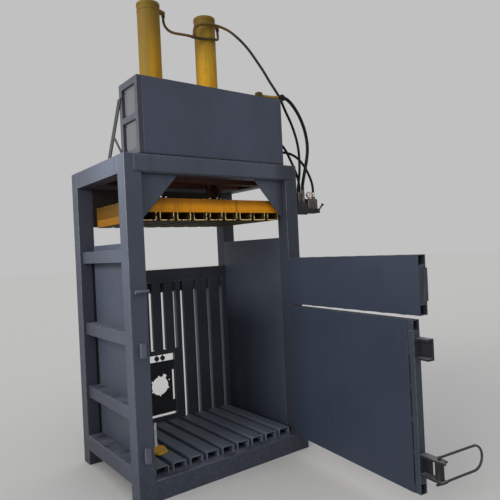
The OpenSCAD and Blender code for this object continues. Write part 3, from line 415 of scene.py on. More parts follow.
class Shelf(Enum):
    """Every finish of the press."""

    FRAME = Finish("slate_frame_paint_with_painted_shade", "frame_paint", (75, 82, 98), (66, 72, 87), dust=0.5,
                   dust_tone=(126, 132, 144), splash=0.5, scuff=Scuff.UPRIGHT, scuff_share=0.12,
                   # painted shade: the frame turns darker towards the rear and towards the right-hand side,
                   # where less light reaches it and the doors shade it
                   zones=(Zone((54, 58, 69), Axis.Y, -0.02, 0.82, 0.82),
                          Zone((47, 51, 62), Axis.X, 0.45, 0.60, 0.85)))
    KEEPER = Finish("pale_keeper_paint", "frame_paint", (98, 103, 117), (84, 89, 102), wear=0.6, speckle=0.3)
    HEAD = Finish("slate_cabinet_paint_with_painted_shade", "frame_paint", (71, 78, 96), (59, 65, 80), roughness=0.42,
                  streak=0.1, waves=0.12, rim_tone=(146, 116, 44), rim_span=(2.694, 2.704),
                  zones=(Zone((58, 61, 68), Axis.X, -0.562, -0.574, 0.85),
                         # painted shadow: a near-black band along the cabinet's bottom edge, for the shadow
                         # in the seam above the top beam
                         Zone((30, 32, 38), Axis.Z, 2.219, 2.203)))
    HEAD_END = Finish("pale_end_panel_paint", "frame_paint", (86, 88, 92), (72, 74, 79), roughness=0.42,
                      streak=0.1, waves=0.12)
    WALL = Finish("slate_wall_paint", "chamber_paint", (64, 71, 85), (55, 61, 74), splash=0.35,
                  scuff=Scuff.UPRIGHT, scuff_share=0.16, waves=0.14)
    # painted light: behind y = 0.834 the slats' flanges turn much lighter, for the light that comes through
    # the gaps from behind
    SLAT = Finish("dark_slat_paint_with_painted_light", "chamber_paint", (62, 66, 76), (51, 54, 62), splash=0.2, wear=0.5,
                  scuff=Scuff.UPRIGHT, scuff_share=0.2, zones=(Zone((108, 113, 124), Axis.Y, 0.834, 0.838),))
    FLOOR = Finish("slate_floor_paint", "chamber_paint", (102, 112, 128), (86, 95, 110), roughness=0.44,
                   scuff=Scuff.ACROSS, scuff_share=0.2, streak=0.0, wear=0.2)
    DOOR = Finish("slate_door_paint", "chamber_paint", (47, 55, 71), (42, 50, 65), roughness=0.47, streak=0.1,
                  scuff=Scuff.UPRIGHT, scuff_share=0.08, waves=0.16)
    DOOR_TUBE = Finish("slate_door_tube_paint", "frame_paint", (54, 60, 73), (46, 52, 64), roughness=0.45,
                       wear=0.5)
    DARK = Finish("near_black_paint", "dark_plate", (44, 46, 52), (34, 36, 41), roughness=0.6)
    # painted shadow: near-black strips laid where the shadow lines of open joints fall
    JOINT_SHADOW = CleanFinish("painted_joint_shadow", "dark_plate", (15, 16, 20), (10, 11, 14), roughness=0.8)
    BLACK = Finish("black_shelf_paint", "frame_paint", (36, 37, 40), (28, 29, 32))
    OCHRE = Finish("mustard_cylinder_paint", "ochre_paint", (211, 164, 40), (192, 136, 26), drift=0.7,
                   drift_scale=4.0, specular=0.12, streak=0.75, streak_tone=(116, 94, 36),
                   dust_tone=(112, 90, 48), wear_tone=(178, 146, 66), speckle=0.35,
                   zones=(Zone((170, 124, 28), Axis.X, 0.05, -0.15, 0.85),
                          # painted shade: the left cylinder's left side is darker, to flatten the light that
                          # falls on it from the left
                          Zone((98, 84, 36), Axis.X, -0.25, -0.315, 0.8),
                          Zone((114, 92, 36), Axis.Z, 2.85, 3.42)))
    FOOT = Finish("mustard_foot_paint", "ochre_paint", (238, 182, 40), (206, 142, 26), roughness=0.45,
                  streak=0.0, speckle=0.3, wear=0.6, wear_tone=(226, 190, 96))
    PALE_BAR = Finish("pale_bar_paint", "ochre_paint", (232, 235, 240), (176, 182, 194), drift=0.9,
                      drift_scale=22.0, streak=0.3, speckle=0.4)
    PLATEN = Finish("mustard_platen_paint_with_painted_shade", "ochre_paint", (150, 96, 16), (112, 70, 14), drift=0.8,
                    specular=0.12, streak=0.5, streak_tone=(96, 62, 18), dust_tone=(96, 72, 40), wear=0.8,
                    wear_tone=(206, 170, 88), speckle=0.45,
                    # painted shade: the dark base tone is the platen in the frame's shadow; the paint turns
                    # bright yellow only low down, and darker towards the left end and on the left side face
                    zones=(Zone((226, 149, 26), Axis.Z, 1.925, 1.868),
                           Zone((116, 84, 28), Axis.X, -0.20, -0.50, 0.4),
                           Zone((50, 37, 6), Axis.X, -0.555, -0.572, 0.9)))
    # the channels are dark all over, far darker than the platen's paint, inside and underneath too
    CHANNEL = Finish("dark_channel_steel", "ochre_paint", (84, 66, 42), (58, 46, 30), roughness=0.65,
                     specular=0.06, streak=0.3, speckle=0.5, wear=1.0, wear_tone=(234, 208, 146), dust=0.0,
                     zones=(Zone((118, 80, 24), Axis.X, -0.5680, -0.5715),))
    PRIMER = Finish("red_brown_primer_with_painted_shade", "primer_paint", (116, 82, 72), (84, 60, 52), roughness=0.7,
                    # painted shade: the crown's primer turns near black towards the left and towards the
                    # rear, under the cabinet
                    zones=(Zone((26, 20, 18), Axis.X, -0.2, -0.5), Zone((26, 20, 18), Axis.Y, 0.70, 0.78)))
    CHROME = CleanFinish("ground_chrome", "rod_chrome", (178, 179, 182), (164, 166, 170), metallic=1.0,
                         specular=0.5, roughness=0.18, rough_drift=0.08, grain=0.03,
                         zones=(Zone((60, 35, 29), Axis.Z, 2.102, 2.098, coats_metal=True),))
    STEEL = SmallFinish("oiled_steel", "bare_steel", (112, 110, 108), (84, 80, 76), metallic=0.9,
                        roughness=0.4, speckle=0.2, grain=0.1)
    HOOP = SmallFinish("handled_steel", "bare_steel", (70, 71, 74), (48, 49, 52), metallic=0.7,
                       roughness=0.36, dust=0.1, speckle=0.3, grain=0.1, wear=0.6)
    ZINC = SmallFinish("dull_zinc", "zinc_fittings", (98, 94, 90), (64, 60, 57), metallic=0.8, roughness=0.42,
                       speckle=0.5, wear=0.6, wear_tone=(176, 172, 166))
    FERRULE = SmallFinish("ferrule_zinc_with_painted_highlight", "zinc_fittings", (116, 111, 105), (76, 72, 67), drift=0.8,
                          drift_scale=30.0, metallic=0.6, roughness=0.38, speckle=0.6, wear=0.7,
                          # painted highlight: the right-most ferrule and its crimp rings turn pale
                          wear_tone=(198, 194, 188), zones=(Zone((212, 207, 200), Axis.X, 0.86, 0.92),))
    SPRAYED = SmallFinish("oversprayed_fitting", "zinc_fittings", (88, 70, 36), (58, 47, 28), metallic=0.3,
                          speckle=0.5, wear=0.5, wear_tone=(160, 134, 80))
    # painted shade and light: the near-black tone is partly rust and partly the shade inside the brackets,
    # and the pale dust on upward faces is partly dust and partly their lit tops
    BRACKET = Finish("dark_bracket_paint", "frame_paint", (30, 31, 36), (22, 23, 27), dust=0.8,
                     dust_tone=(120, 122, 126), wear=0.6)
    STRUT = Finish("grey_strut_paint", "frame_paint", (48, 48, 51), (36, 36, 39), streak=0.4)
    GAUGE_CASE = SmallFinish("red_brown_case", "zinc_fittings", (104, 50, 42), (84, 40, 34), roughness=0.4,
                             wear=0.5, wear_tone=(150, 120, 112))
    GAUGE_DIAL = CleanFinish("pale_dial", "zinc_fittings", (226, 214, 208), (212, 198, 192), roughness=0.4,
                             grain=0.02)
    CAST = SmallFinish("black_cast_iron", "dark_cast", (46, 47, 50), (34, 35, 38), roughness=0.6,
                       grain_scale=420.0, grain=0.3)
    WELD = SmallFinish("painted_weld", "frame_paint", (68, 73, 86), (58, 62, 73), roughness=0.45, wear=0.0)
    HOSE = HoseFinish("hose_cover")
    HOSE_SPRAYED = CleanFinish("oversprayed_hose_cover", "hose_rubber", (98, 74, 30), (40, 34, 22),
                               drift=0.95, drift_scale=9.0, roughness=0.55, dust=0.1, speckle=0.8,
                               speckle_tone=(26, 24, 20))
    HOSE_SUPPLY = HoseFinish("supply_hose_cover", zones=(Zone((92, 70, 30), Axis.X, 0.46, 0.36),))
    HOSE_PRESSURE = HoseFinish("pressure_hose_cover", zones=(Zone((150, 122, 58), Axis.X, 0.615, 0.585),))
    TIE = CleanFinish("black_tie", "hose_rubber", (14, 14, 14), (22, 22, 22), roughness=0.45)


class Stock:
    """Ways to make meshes and set them in the frame."""

    SHARP = math.radians(30.0)
    CREASE = math.radians(35.0)
    ROUND = math.radians(0.6)
    FLAT = math.radians(0.4)
    MERGE = 2e-6
    LATHE_MERGE = 1e-7
    ON_AXIS = 1e-6

    @staticmethod
    def add(name: str, data: bpy.types.ID) -> Piece:
        """Put a mesh, curve, lamp or camera in the scene.

        Args:
            name: the object's name.
            data: what it holds.

        Returns:
            The object, at the origin.
        """
        piece = bpy.data.objects.new(name, data)
        bpy.context.scene.collection.objects.link(piece)
        return piece

    @staticmethod
    def settle(piece: Piece, finish: Shelf, body: Body, instead_of: Sequence[str] = ()) -> None:
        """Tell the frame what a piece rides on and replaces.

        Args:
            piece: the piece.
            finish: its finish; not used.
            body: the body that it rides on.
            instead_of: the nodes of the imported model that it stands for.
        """
        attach(piece, body.value)
        if instead_of:
            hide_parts(*instead_of)
        LOG.info("piece %s on %s", piece.name, body.value)

    @staticmethod
    def place(name: str, mesh: Mesh, finish: Shelf, body: Body = Body.FRAME,
              instead_of: Sequence[str] = ()) -> None:
        """Put a mesh in the scene as a piece that moves with a body.

        Args:
            name: the piece's name.
            mesh: its mesh, in place in the frame.
            finish: its finish, unless the mesh has its own.
            body: the body that it rides on.
            instead_of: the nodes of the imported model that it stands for.
        """
        if not mesh.materials:
            mesh.materials.append(finish.value.material())
        Stock.settle(Stock.add(name, mesh), finish, body, instead_of)

    @staticmethod
    def dress(end: str, finish: Shelf, width: Round, *nodes: str, body: Body = Body.FRAME,
              steps: int = 2) -> None:
        """Put rounded and finished copies in the place of nodes.

        Args:
            end: what a piece's name ends in, after the node's name.
            finish: the pieces' finish.
            width: how wide their edges are rounded.
            nodes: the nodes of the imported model.
            body: the body that the pieces ride on.
            steps: the rounding's steps.
        """
        for node in nodes:
            Stock.place(f"{node}_{end}", Stock.softened(node, width, steps), finish, body, [node])

    @staticmethod
    def from_bmesh(work: bmesh.types.BMesh, name: str, crease: float | None = None) -> Mesh:
        """Turn an edit mesh into a mesh and free it.

        Args:
            work: the edit mesh.
            name: the mesh's name.
            crease: the angle from which its edges stay sharp.

        Returns:
            The mesh.
        """
        mesh = bpy.data.meshes.new(name)
        work.to_mesh(mesh)
        work.free()
        if crease is not None:
            mesh.set_sharp_from_angle(angle=crease)
        return mesh

    @staticmethod
    def softened(node: str, width: Round, steps: int = 2) -> Mesh:
        """Copy a node's mesh with its sharp edges rounded and marked for wear.

        Args:
            node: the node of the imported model.
            width: how wide the edges are rounded.
            steps: the rounding's steps.

        Returns:
            The new mesh.
        """
        work = bmesh.new()
        work.from_mesh(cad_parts[node].data)
        bmesh.ops.remove_doubles(work, verts=work.verts, dist=Stock.MERGE)
        bmesh.ops.dissolve_limit(work, angle_limit=Stock.FLAT, use_dissolve_boundaries=False,
                                 verts=work.verts, edges=work.edges, delimit=set())
        edge = work.faces.layers.float.new(EDGE_LAYER)
        sharp = []
        for face in work.faces:
            face.smooth = False
        for line in work.edges:
            angle = line.calc_face_angle(0.0) if len(line.link_faces) == 2 else 0.0
            if angle > Stock.SHARP:
                sharp.append(line)
            elif angle > Stock.ROUND:
                for face in line.link_faces:
                    face.smooth = True
        made = bmesh.ops.bevel(work, geom=sharp, offset=width.value, offset_type="OFFSET", segments=steps,
                               profile=0.5, affect="EDGES", clamp_overlap=True, loop_slide=True)
        for face in made["faces"]:
            face.smooth = True
            face[edge] = 1.0
        return Stock.from_bmesh(work, node + "_softened")

    @staticmethod
    def blocks(corners: Iterable[tuple[Point, Point]], name: str) -> Mesh:
        """Make upright blocks in one mesh.

        Args:
            corners: each block's low and high corner.
            name: the mesh's name.

        Returns:
            The mesh.
        """
        work = bmesh.new()
        for low, high in corners:
            for vert in bmesh.ops.create_cube(work, size=1.0)["verts"]:
                vert.co = [a + (b - a) * (v + 0.5) for a, b, v in zip(low, high, vert.co)]
        return Stock.from_bmesh(work, name)

    @staticmethod
    def lathe(outline: Sequence[Pair], centres: Iterable[Pair], name: str, steps: int = 96) -> Mesh:
        """Turn a closed outline around upright axes.

        Args:
            outline: the section's corners as radius and height, in order.
            centres: the place of each axis in X and Y.
            name: the mesh's name.
            steps: faces around.

        Returns:
            One mesh with a turned piece on each axis.
        """
        work = bmesh.new()
        count = len(outline)
        for cx, cy in centres:
            turns = [2 * math.pi * k / steps for k in range(steps)]
            rings = [[work.verts.new((cx + r * math.cos(t), cy + r * math.sin(t), z)) for r, z in outline]
                     for t in turns]
            for here, there in zip(rings, rings[1:] + rings[:1]):
                for i in range(count):
                    j = (i + 1) % count
                    if max(outline[i][0], outline[j][0]) > Stock.ON_AXIS:
                        work.faces.new((here[i], there[i], there[j], here[j])).smooth = True
        bmesh.ops.remove_doubles(work, verts=work.verts, dist=Stock.LATHE_MERGE)
        bmesh.ops.recalc_face_normals(work, faces=work.faces)
        return Stock.from_bmesh(work, name, Stock.CREASE)

    @staticmethod
    def parted(mesh: Mesh, finishes: Sequence[Shelf], second: Iterable[bool]) -> None:
        """Give a mesh two finishes.

        Args:
            mesh: the mesh.
            finishes: both finishes.
            second: for each face, whether it gets the second one.
        """
        for finish in finishes:
            mesh.materials.append(finish.value.material())
        for face, other in zip(mesh.polygons, list(second)):
            face.material_index = int(other)

    @staticmethod
    def tube(name: str, points: Sequence[Vector], radius: float, rounds: int) -> bpy.types.Curve:
        """Make a round bar along points, with closed ends.

        Args:
            name: the curve's name.
            points: the line's points.
            radius: the bar's radius.
            rounds: how finely its section is rounded.

        Returns:
            The curve.
        """
        line = bpy.data.curves.new(name, "CURVE")
        line.dimensions = "3D"
        spline = line.splines.new("POLY")
        spline.points.add(len(points) - 1)
        for place, point in zip(spline.points, points):
            place.co = (*point, 1.0)
        line.bevel_depth = radius
        line.bevel_resolution = rounds
        line.use_fill_caps = True
        return line


class NodeRecipe(Wiring):
    """A Geometry Nodes tree with named inputs that sets many copies of a shape, in one finish."""

    def __init__(self, name: str, finish: Shelf, **sizes: str) -> None:
        """Start a tree with a geometry input, a geometry output and named inputs.

        Args:
            name: what the tree's name starts with.
            finish: the copies' finish.
            sizes: each named input's kind of value.
        """
        super().__init__(bpy.data.node_groups.new(f"{name}_{finish.value.name}", "GeometryNodeTree"))
        face = self.tree.interface
        for side in ("INPUT", "OUTPUT"):
            face.new_socket(name="Geometry", in_out=side, socket_type="NodeSocketGeometry")
        self.names: dict[str, str] = {}
        for key, kind in sizes.items():
            named = face.new_socket(name=key, in_out="INPUT", socket_type="NodeSocket" + kind)
            self.names[key] = named.identifier
        self.finish = finish
        self.given = self.add("NodeGroupInput").outputs

    def copy(self, points: Socket, shape: Socket, **more: Socket) -> None:
        """End the tree: set a shape on points, make the copies real and give them their finish.

        Args:
            points: where the copies go.
            shape: what is copied.
            more: the copies' rotation and scale.
        """
        copies = self.add("GeometryNodeInstanceOnPoints", {"Points": points, "Instance": shape, **more})
        real = self.add("GeometryNodeRealizeInstances", {"Geometry": copies.outputs["Instances"]})
        paint = self.add("GeometryNodeSetMaterial", {"Geometry": real.outputs["Geometry"],
                                                     "Material": self.finish.value.material()})
        self.add("NodeGroupOutput", {"Geometry": paint.outputs["Geometry"]})

    def bake(self, name: str, mesh: Mesh, body: Body, values: dict[str, Any],
             instead_of: Sequence[str] = ()) -> None:
        """Run the tree on a mesh and keep the result as a plain piece.

        Args:
            name: the piece's name.
            mesh: what the tree starts from.
            body: the body that the piece rides on.
            values: the tree's sizes by name.
            instead_of: the nodes that the piece stands for.
        """
        piece = Stock.add(name, mesh)
        maker = piece.modifiers.new("maker", "NODES")
        maker.node_group = self.tree
        for key, value in values.items():
            maker[self.names[key]] = value
        graph = bpy.context.evaluated_depsgraph_get()
        result = bpy.data.meshes.new_from_object(piece.evaluated_get(graph), preserve_all_data_layers=True,
                                                 depsgraph=graph)
        piece.modifiers.remove(maker)
        piece.data = result
        Stock.settle(piece, self.finish, body, instead_of)


class RowRecipe(NodeRecipe):
    """Copies of one bar in a row."""

    def __init__(self, finish: Shelf) -> None:
        """Build the tree.

        Args:
            finish: the bars' finish.
        """
        super().__init__("bar_row", finish, Count="Int", Offset="Vector")
        row = self.add("GeometryNodeMeshLine", {key: self.given[key] for key in ("Count", "Offset")})
        self.copy(row.outputs["Mesh"], self.given["Geometry"])


class BeadRecipe(NodeRecipe):
    """Weld beads along lines: round drops that overlap like scales."""

    LEAST, MOST, SEED = 0.8, 1.15, 7
    AROUND, RINGS = 8, 5
    OVERLAP = 1.5

    def __init__(self, finish: Shelf) -> None:
        """Build the tree.

        Args:
            finish: the weld's finish.
        """
        super().__init__("weld_beads", finish, Pitch="Float", Bead="Float")
        lines = self.add("GeometryNodeMeshToCurve", {"Mesh": self.given["Geometry"]})
        spaced = self.add("GeometryNodeResampleCurve", mode="LENGTH")
        self.feed(spaced, {"Curve": lines.outputs["Curve"], "Length": self.given["Pitch"]})
        drop = self.add("GeometryNodeMeshUVSphere", {"Segments": self.AROUND, "Rings": self.RINGS,
                                                     "Radius": self.given["Bead"]})
        smooth = self.add("GeometryNodeSetShadeSmooth", {"Geometry": drop.outputs["Mesh"]})
        ahead = self.add("GeometryNodeInputTangent").outputs["Tangent"]
        turn = self.add("FunctionNodeAlignRotationToVector", {"Vector": ahead}, axis="X")
        vary = self.add("FunctionNodeRandomValue", {2: self.LEAST, 3: self.MOST, "Seed": self.SEED},
                        data_type="FLOAT")
        self.copy(spaced.outputs["Curve"], smooth.outputs["Geometry"], Rotation=turn.outputs["Rotation"],
                  Scale=vary.outputs[1])

    def run(self, name: str, lines: Iterable[Line], body: Body = Body.FRAME, bead: float = 0.0035) -> None:
        """Lay beads along lines.

        Args:
            name: the piece's name.
            lines: each line's points.
            body: the body that the welds ride on.
            bead: a drop's radius.
        """
        verts: list[Point] = []
        edges: list[tuple[int, int]] = []
        for line in lines:
            first = len(verts)
            verts.extend(line)
            edges.extend((i, i + 1) for i in range(first, len(verts) - 1))
        mesh = bpy.data.meshes.new(name + "_lines")
        mesh.from_pydata(verts, edges, [])
        self.bake(name, mesh, body, {"Pitch": bead * self.OVERLAP, "Bead": bead})


class StudRecipe(NodeRecipe):
    """Bolt heads, nuts or crimp rings: short bars set on points, each along its own axis."""

    def __init__(self, finish: Shelf) -> None:
        """Build the tree.

        Args:
            finish: the studs' finish.
        """
        super().__init__("studs", finish, Vertices="Int", Radius="Float", Depth="Float")
        bar = self.add("GeometryNodeMeshCylinder", {key: self.given[key] for key in self.names})
        axis = self.add("GeometryNodeInputNamedAttribute", {"Name": AXIS_LAYER}, data_type="FLOAT_VECTOR")
        turn = self.add("FunctionNodeAlignRotationToVector", {"Vector": axis.outputs["Attribute"]}, axis="Z")
        self.copy(self.given["Geometry"], bar.outputs["Mesh"], Rotation=turn.outputs["Rotation"])

    def run(self, name: str, places: Iterable[tuple[Point, Point]], radius: float, height: float, sides: int,
            body: Body = Body.FRAME) -> None:
        """Set studs with their feet on points.

        Args:
            name: the piece's name.
            places: each stud's foot and axis.
            radius: a stud's radius.
            height: its height.
            sides: its sides.
            body: the body that the studs ride on.
        """
        mesh = bpy.data.meshes.new(name + "_places")
        feet, axes = zip(*places)
        mesh.from_pydata([tuple(Vector(f) + Vector(a) * height / 2) for f, a in zip(feet, axes)], [], [])
        layer = mesh.attributes.new(AXIS_LAYER, "FLOAT_VECTOR", "POINT")
        for held, axis in zip(layer.data, axes):
            held.vector = axis
        self.bake(name, mesh, body, {"Vertices": sides, "Radius": radius, "Depth": height})


def mirrored(lines: list[Line]) -> list[Line]:
    """Give lines and their mirror images on the other side of the machine."""
    return lines + [[(-x, y, z) for x, y, z in line] for line in lines]


@dataclass
class FoldedRow:
    """A row of folded channels that lie from front to back."""

    width: float
    height: float
    bend: float
    low: float
    front: float
    rear: float
    open_above: bool = False
    wall: float = 0.006
    count: int = 9
    pitch: float = 0.13
    bend_steps: int = 4
    cut_wear: float = 3.0
    least_bend: float = 0.001

    def skin(self, inset: float, radius: float) -> list[Pair]:
        """Give one skin of the section from left to right.

        Args:
            inset: how far it lies inside the outer skin.
            radius: its bend radius.

        Returns:
            Its points in X and Z.
        """
        half, top = self.width / 2 - inset, self.height - inset
        points = [(-half, 0.0)]
        for start, side in ((180.0, -1.0), (90.0, 1.0)):
            for k in range(self.bend_steps + 1):
                turn = math.radians(start - 90.0 * k / self.bend_steps)
                points.append((side * (half - radius) + radius * math.cos(turn),
                               top - radius + radius * math.sin(turn)))
        return points + [(half, 0.0)]

    def build(self, node: str, finish: Shelf, body: Body) -> None:
        """Fold the first channel and set the row in the place of a node.

        Args:
            node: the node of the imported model.
            finish: the channels' finish.
            body: the body that they ride on.
        """
        inner = self.skin(self.wall, max(self.bend - self.wall, self.least_bend))
        outline = self.skin(0.0, self.bend) + inner[::-1]
        first = -(self.count - 1) / 2 * self.pitch
        work = bmesh.new()
        edge = work.faces.layers.float.new(EDGE_LAYER)
        ends = [[work.verts.new((x + first, y, self.low + (self.height - z if self.open_above else z)))
                 for x, z in outline] for y in (self.front, self.rear)]
        for i in range(len(outline)):
            j = (i + 1) % len(outline)
            work.faces.new((ends[0][i], ends[0][j], ends[1][j], ends[1][i])).smooth = True
        for cut in (work.faces.new(ends[0][::-1]), work.faces.new(ends[1])):
            cut[edge] = self.cut_wear
        bmesh.ops.recalc_face_normals(work, faces=work.faces)
        RowRecipe(finish).bake(node + "_folded", Stock.from_bmesh(work, node + "_one", Stock.SHARP), body,
                               {"Count": self.count, "Offset": (self.pitch, 0.0, 0.0)}, [node])


@dataclass
class SteelFrame:
    """Posts, beams, cover plate, gussets and crown."""

    half: float = 0.7125
    inner: float = 0.5975
    front: float = -0.055
    front_inner: float = 0.055
    rear_inner: float = 0.825
    ring: float = 2.082
    top: float = 2.2
    base_seam: Pair = (0.004, 0.130)
    base_top: float = 0.132
    rail: Pair = (0.115, 0.225)
    gusset_drop: float = 0.29
    gusset_face: float = -0.0205
    gusset_end: float = 0.3325
    cover_edge: Pair = (0.541, -0.0633)
    cover_seam: Pair = (2.092, 2.188)
    beam_end: Pair = (0.6495, -0.0555)
    beam_seam: Pair = (2.090, 2.190)
    weld_inset: float = 0.0041

    def build(self) -> None:
        """Soften the frame's pieces and weld them."""
        Stock.dress("painted", Shelf.FRAME, Round.TUBE, "front_posts", "rear_posts", "base_beams",
                    "side_rails", "top_beams", steps=3)
        Stock.dress("painted", Shelf.FRAME, Round.PLATE, "front_cover_plate", "corner_gussets", "hinge_lugs")
        Stock.dress("painted", Shelf.KEEPER, Round.PLATE, "door_keepers")
        Stock.dress("primed", Shelf.PRIMER, Round.PLATE, "crown_beams", "crown_plates")
        Stock.dress("oiled", Shelf.STEEL, Round.SMALL, "hinge_pins")
        BeadRecipe(Shelf.WELD).run("frame_welds", self.seams())

    def seams(self) -> list[Line]:
        """List the welded corners of the frame.

        Returns:
            Lines in metres.
        """
        x, near, far, face = self.inner, self.front, self.front_inner, self.gusset_face
        side = self.half - self.weld_inset
        lines: list[Line] = [[(x, near, z) for z in self.base_seam]]
        lines += [[(x, y, z) for y in (near, far)] for z in (self.base_top, self.ring)]
        for span in ((self.ring, self.top), self.rail):
            lines += [[(side, y, z) for z in span] for y in (far, self.rear_inner)]
        lines.append([(x, face, self.ring - self.gusset_drop), (x, face, self.ring)])
        lines.append([(self.gusset_end, face, self.ring), (x, face, self.ring)])
        lines.append([(*self.cover_edge, z) for z in self.cover_seam])
        lines.append([(*self.beam_end, z) for z in self.beam_seam])
        return mirrored(lines)


@dataclass
class Chamber:
    """Walls, ribs, rear slats, window plate, floor and foot plate."""

    foot_top: float = 0.198
    rib_heights: tuple[float, ...] = (0.505, 0.981, 1.516)
    rib_tall: float = 0.085
    rib_seam: tuple[float, float, float] = (0.6075, 0.6870, 0.6875)
    wall_seam: float = 0.6058
    stitches: tuple[float, ...] = (0.12, 0.36, 0.60)
    stitch: float = 0.09
    bead: float = 0.003
    wall_face: float = 0.6055
    rail_top: float = 0.225
    posts: Pair = (0.055, 0.825)
    joint: float = 0.019
    joint_proud: float = 0.001
    joint_short: float = 0.004
    pan_half: float = 0.5965
    pan_sheet: float = 0.003
    pan_lip: Pair = (0.070, 0.118)
    pan_short: float = 0.001

    def build(self) -> None:
        """Soften the walls and lay the floor."""
        Stock.dress("painted", Shelf.WALL, Round.PANEL, "side_walls")
        Stock.dress("painted", Shelf.SLAT, Round.PLATE, "rear_top_band", "rear_slats")
        Stock.dress("painted", Shelf.FRAME, Round.RIB, "side_wall_ribs", "rear_ribs")
        Stock.dress("painted", Shelf.SLAT, Round.RIB, "floor_bearers")
        Stock.dress("painted", Shelf.DARK, Round.SMALL, "window_plate", "hanger_studs")
        foot = Stock.softened("ejector_foot", Round.SMALL)
        Stock.parted(foot, (Shelf.FOOT, Shelf.PALE_BAR), (f.center.z > self.foot_top for f in foot.polygons))
        Stock.place("ejector_foot_painted", foot, Shelf.FOOT, Body.FRAME, ["ejector_foot"])
        floor = FoldedRow(width=0.098, height=0.053, bend=0.010, low=0.132, front=0.005, rear=0.822)
        floor.build("floor_slats", Shelf.FLOOR, Body.FRAME)
        self.lay_joint_shadows()
        BeadRecipe(Shelf.FRAME).run("wall_welds", self.seams(), bead=self.bead)

    def lay_joint_shadows(self) -> None:
        """Lay near-black strips as painted shadow lines at the joints behind the side walls, and turn up the
        edges of the pan under the floor.
        """
        joints, lips = [], []
        front, rear = self.posts
        lows = [self.rail_top] + [low + self.rib_tall for low in self.rib_heights[:-1]]
        for side in SIDES:
            near, far = sorted((side * self.wall_face, side * (self.wall_face + self.joint)))
            for low, high in zip(lows, self.rib_heights):
                joints.append(((near, rear - self.joint_proud, low + self.joint_short),
                               (far, rear + self.joint_proud, high - self.joint_short)))
            near, far = sorted((side * self.pan_half, side * (self.pan_half - self.pan_sheet)))
            lips.append(((near, front + self.pan_short, self.pan_lip[0]),
                         (far, rear - self.pan_short, self.pan_lip[1])))
        # painted shadow: thin near-black sheets on the rear posts beside the side walls
        Stock.place("wall_joint_shadows", Stock.blocks(joints, "wall_joint_shadows"), Shelf.JOINT_SHADOW)
        Stock.place("floor_pan_lips", Stock.blocks(lips, "floor_pan_lips"), Shelf.SLAT)

    def seams(self) -> list[Line]:
        """List the welds between ribs, walls and posts.

        Returns:
            Lines in metres.
        """
        lines: list[Line] = []
        near, far, edge = self.rib_seam
        for low in self.rib_heights:
            top = low + self.rib_tall
            for y in self.posts:
                lines += [[(near, y, top), (far, y, top)], [(edge, y, low), (edge, y, top)]]
            wall = self.wall_seam
            lines += [[(wall, y, top), (wall, y + self.stitch, top)] for y in self.stitches]
        return mirrored(lines)


@dataclass
class HeadCabinet:
    """Cabinet on the crown with tank, motor and pump, and its braces."""

    end: float = 0.5755
    screw: float = 0.006
    screw_tall: float = 0.004
    screw_heights: tuple[float, ...] = (2.262, 2.418, 2.490, 2.646)
    screw_depths: Pair = (0.010, 0.180)

    def build(self) -> None:
        """Soften the cabinet, dress the power unit and screw the end panels on."""
        Stock.dress("painted", Shelf.HEAD, Round.PANEL, "head_uprights", "head_rails")
        Stock.dress("painted", Shelf.HEAD, Round.SHEET, "head_floor", "head_front_panel",
                    "head_top_panel", "oil_tank")
        Stock.dress("painted", Shelf.STRUT, Round.SHEET, "head_braces")
        Stock.dress("painted", Shelf.HEAD_END, Round.SHEET, "head_end_panels")
        Stock.dress("cast", Shelf.CAST, Round.SHEET, "pump_motor")
        Stock.dress("cast", Shelf.CAST, Round.PLATE, "gear_pump")
        places = [((side * self.end, y, z), (side, 0.0, 0.0))
                  for side in SIDES for z in self.screw_heights for y in self.screw_depths]
        StudRecipe(Shelf.ZINC).run("end_panel_screws", places, self.screw, self.screw_tall, HEX)


@dataclass
class Cylinders:
    """Two barrels with caps, glands, bolts and fittings."""

    spread: float = 0.247
    depth: float = 0.44
    seat: float = 2.225
    length: float = 1.145
    barrel: float = 0.084
    bore: float = 0.07
    flange: float = 0.13
    flange_tall: float = 0.028
    chamfer: float = 0.002
    fillet: float = 0.008
    fillet_steps: int = 5
    lip: float = 0.001
    weld_proud: float = 0.0002
    weld_steps: int = 48
    bead: float = 0.003

    def centres(self) -> list[Pair]:
        """Give both axes in X and Y."""
        return [(side * self.spread, self.depth) for side in SIDES]

    def build(self) -> None:
        """Turn the barrels and dress what sits on them."""
        low, top, cut = self.seat, self.seat + self.length, self.chamfer
        rise = low + self.flange_tall
        outline = [(self.bore, low), (self.flange - cut, low), (self.flange, low + cut),
                   (self.flange, rise - cut), (self.flange - cut, rise), (self.barrel + self.fillet, rise)]
        for k in range(1, self.fillet_steps + 1):
            turn = math.radians(90.0 / self.fillet_steps * k)
            outline.append((self.barrel + self.fillet * (1 - math.sin(turn)),
                            rise + self.fillet * (1 - math.cos(turn))))
        outline += [(self.barrel, top - self.lip), (self.barrel - self.lip, top), (self.bore, top)]
        turned = Stock.lathe(outline, self.centres(), "barrels_turned")
        Stock.place("barrels_turned", turned, Shelf.OCHRE, Body.FRAME, ["barrels"])
        Stock.dress("painted", Shelf.OCHRE, Round.PLATE, "barrel_caps")
        Stock.dress("oiled", Shelf.STEEL, Round.SMALL, "glands", "flange_bolts")
        Stock.dress("plated", Shelf.SPRAYED, Round.SMALL, "hose_fittings")
        BeadRecipe(Shelf.OCHRE).run("cap_welds", self.cap_seams(top), bead=self.bead)

    def cap_seams(self, height: float) -> list[Line]:
        """Give a round weld at one height between each barrel and its cap."""
        radius, turns = self.barrel + self.weld_proud, range(self.weld_steps + 1)
        return [[(cx + radius * math.cos(k * 2 * math.pi / self.weld_steps),
                  cy + radius * math.sin(k * 2 * math.pi / self.weld_steps), height) for k in turns]
                for cx, cy in self.centres()]


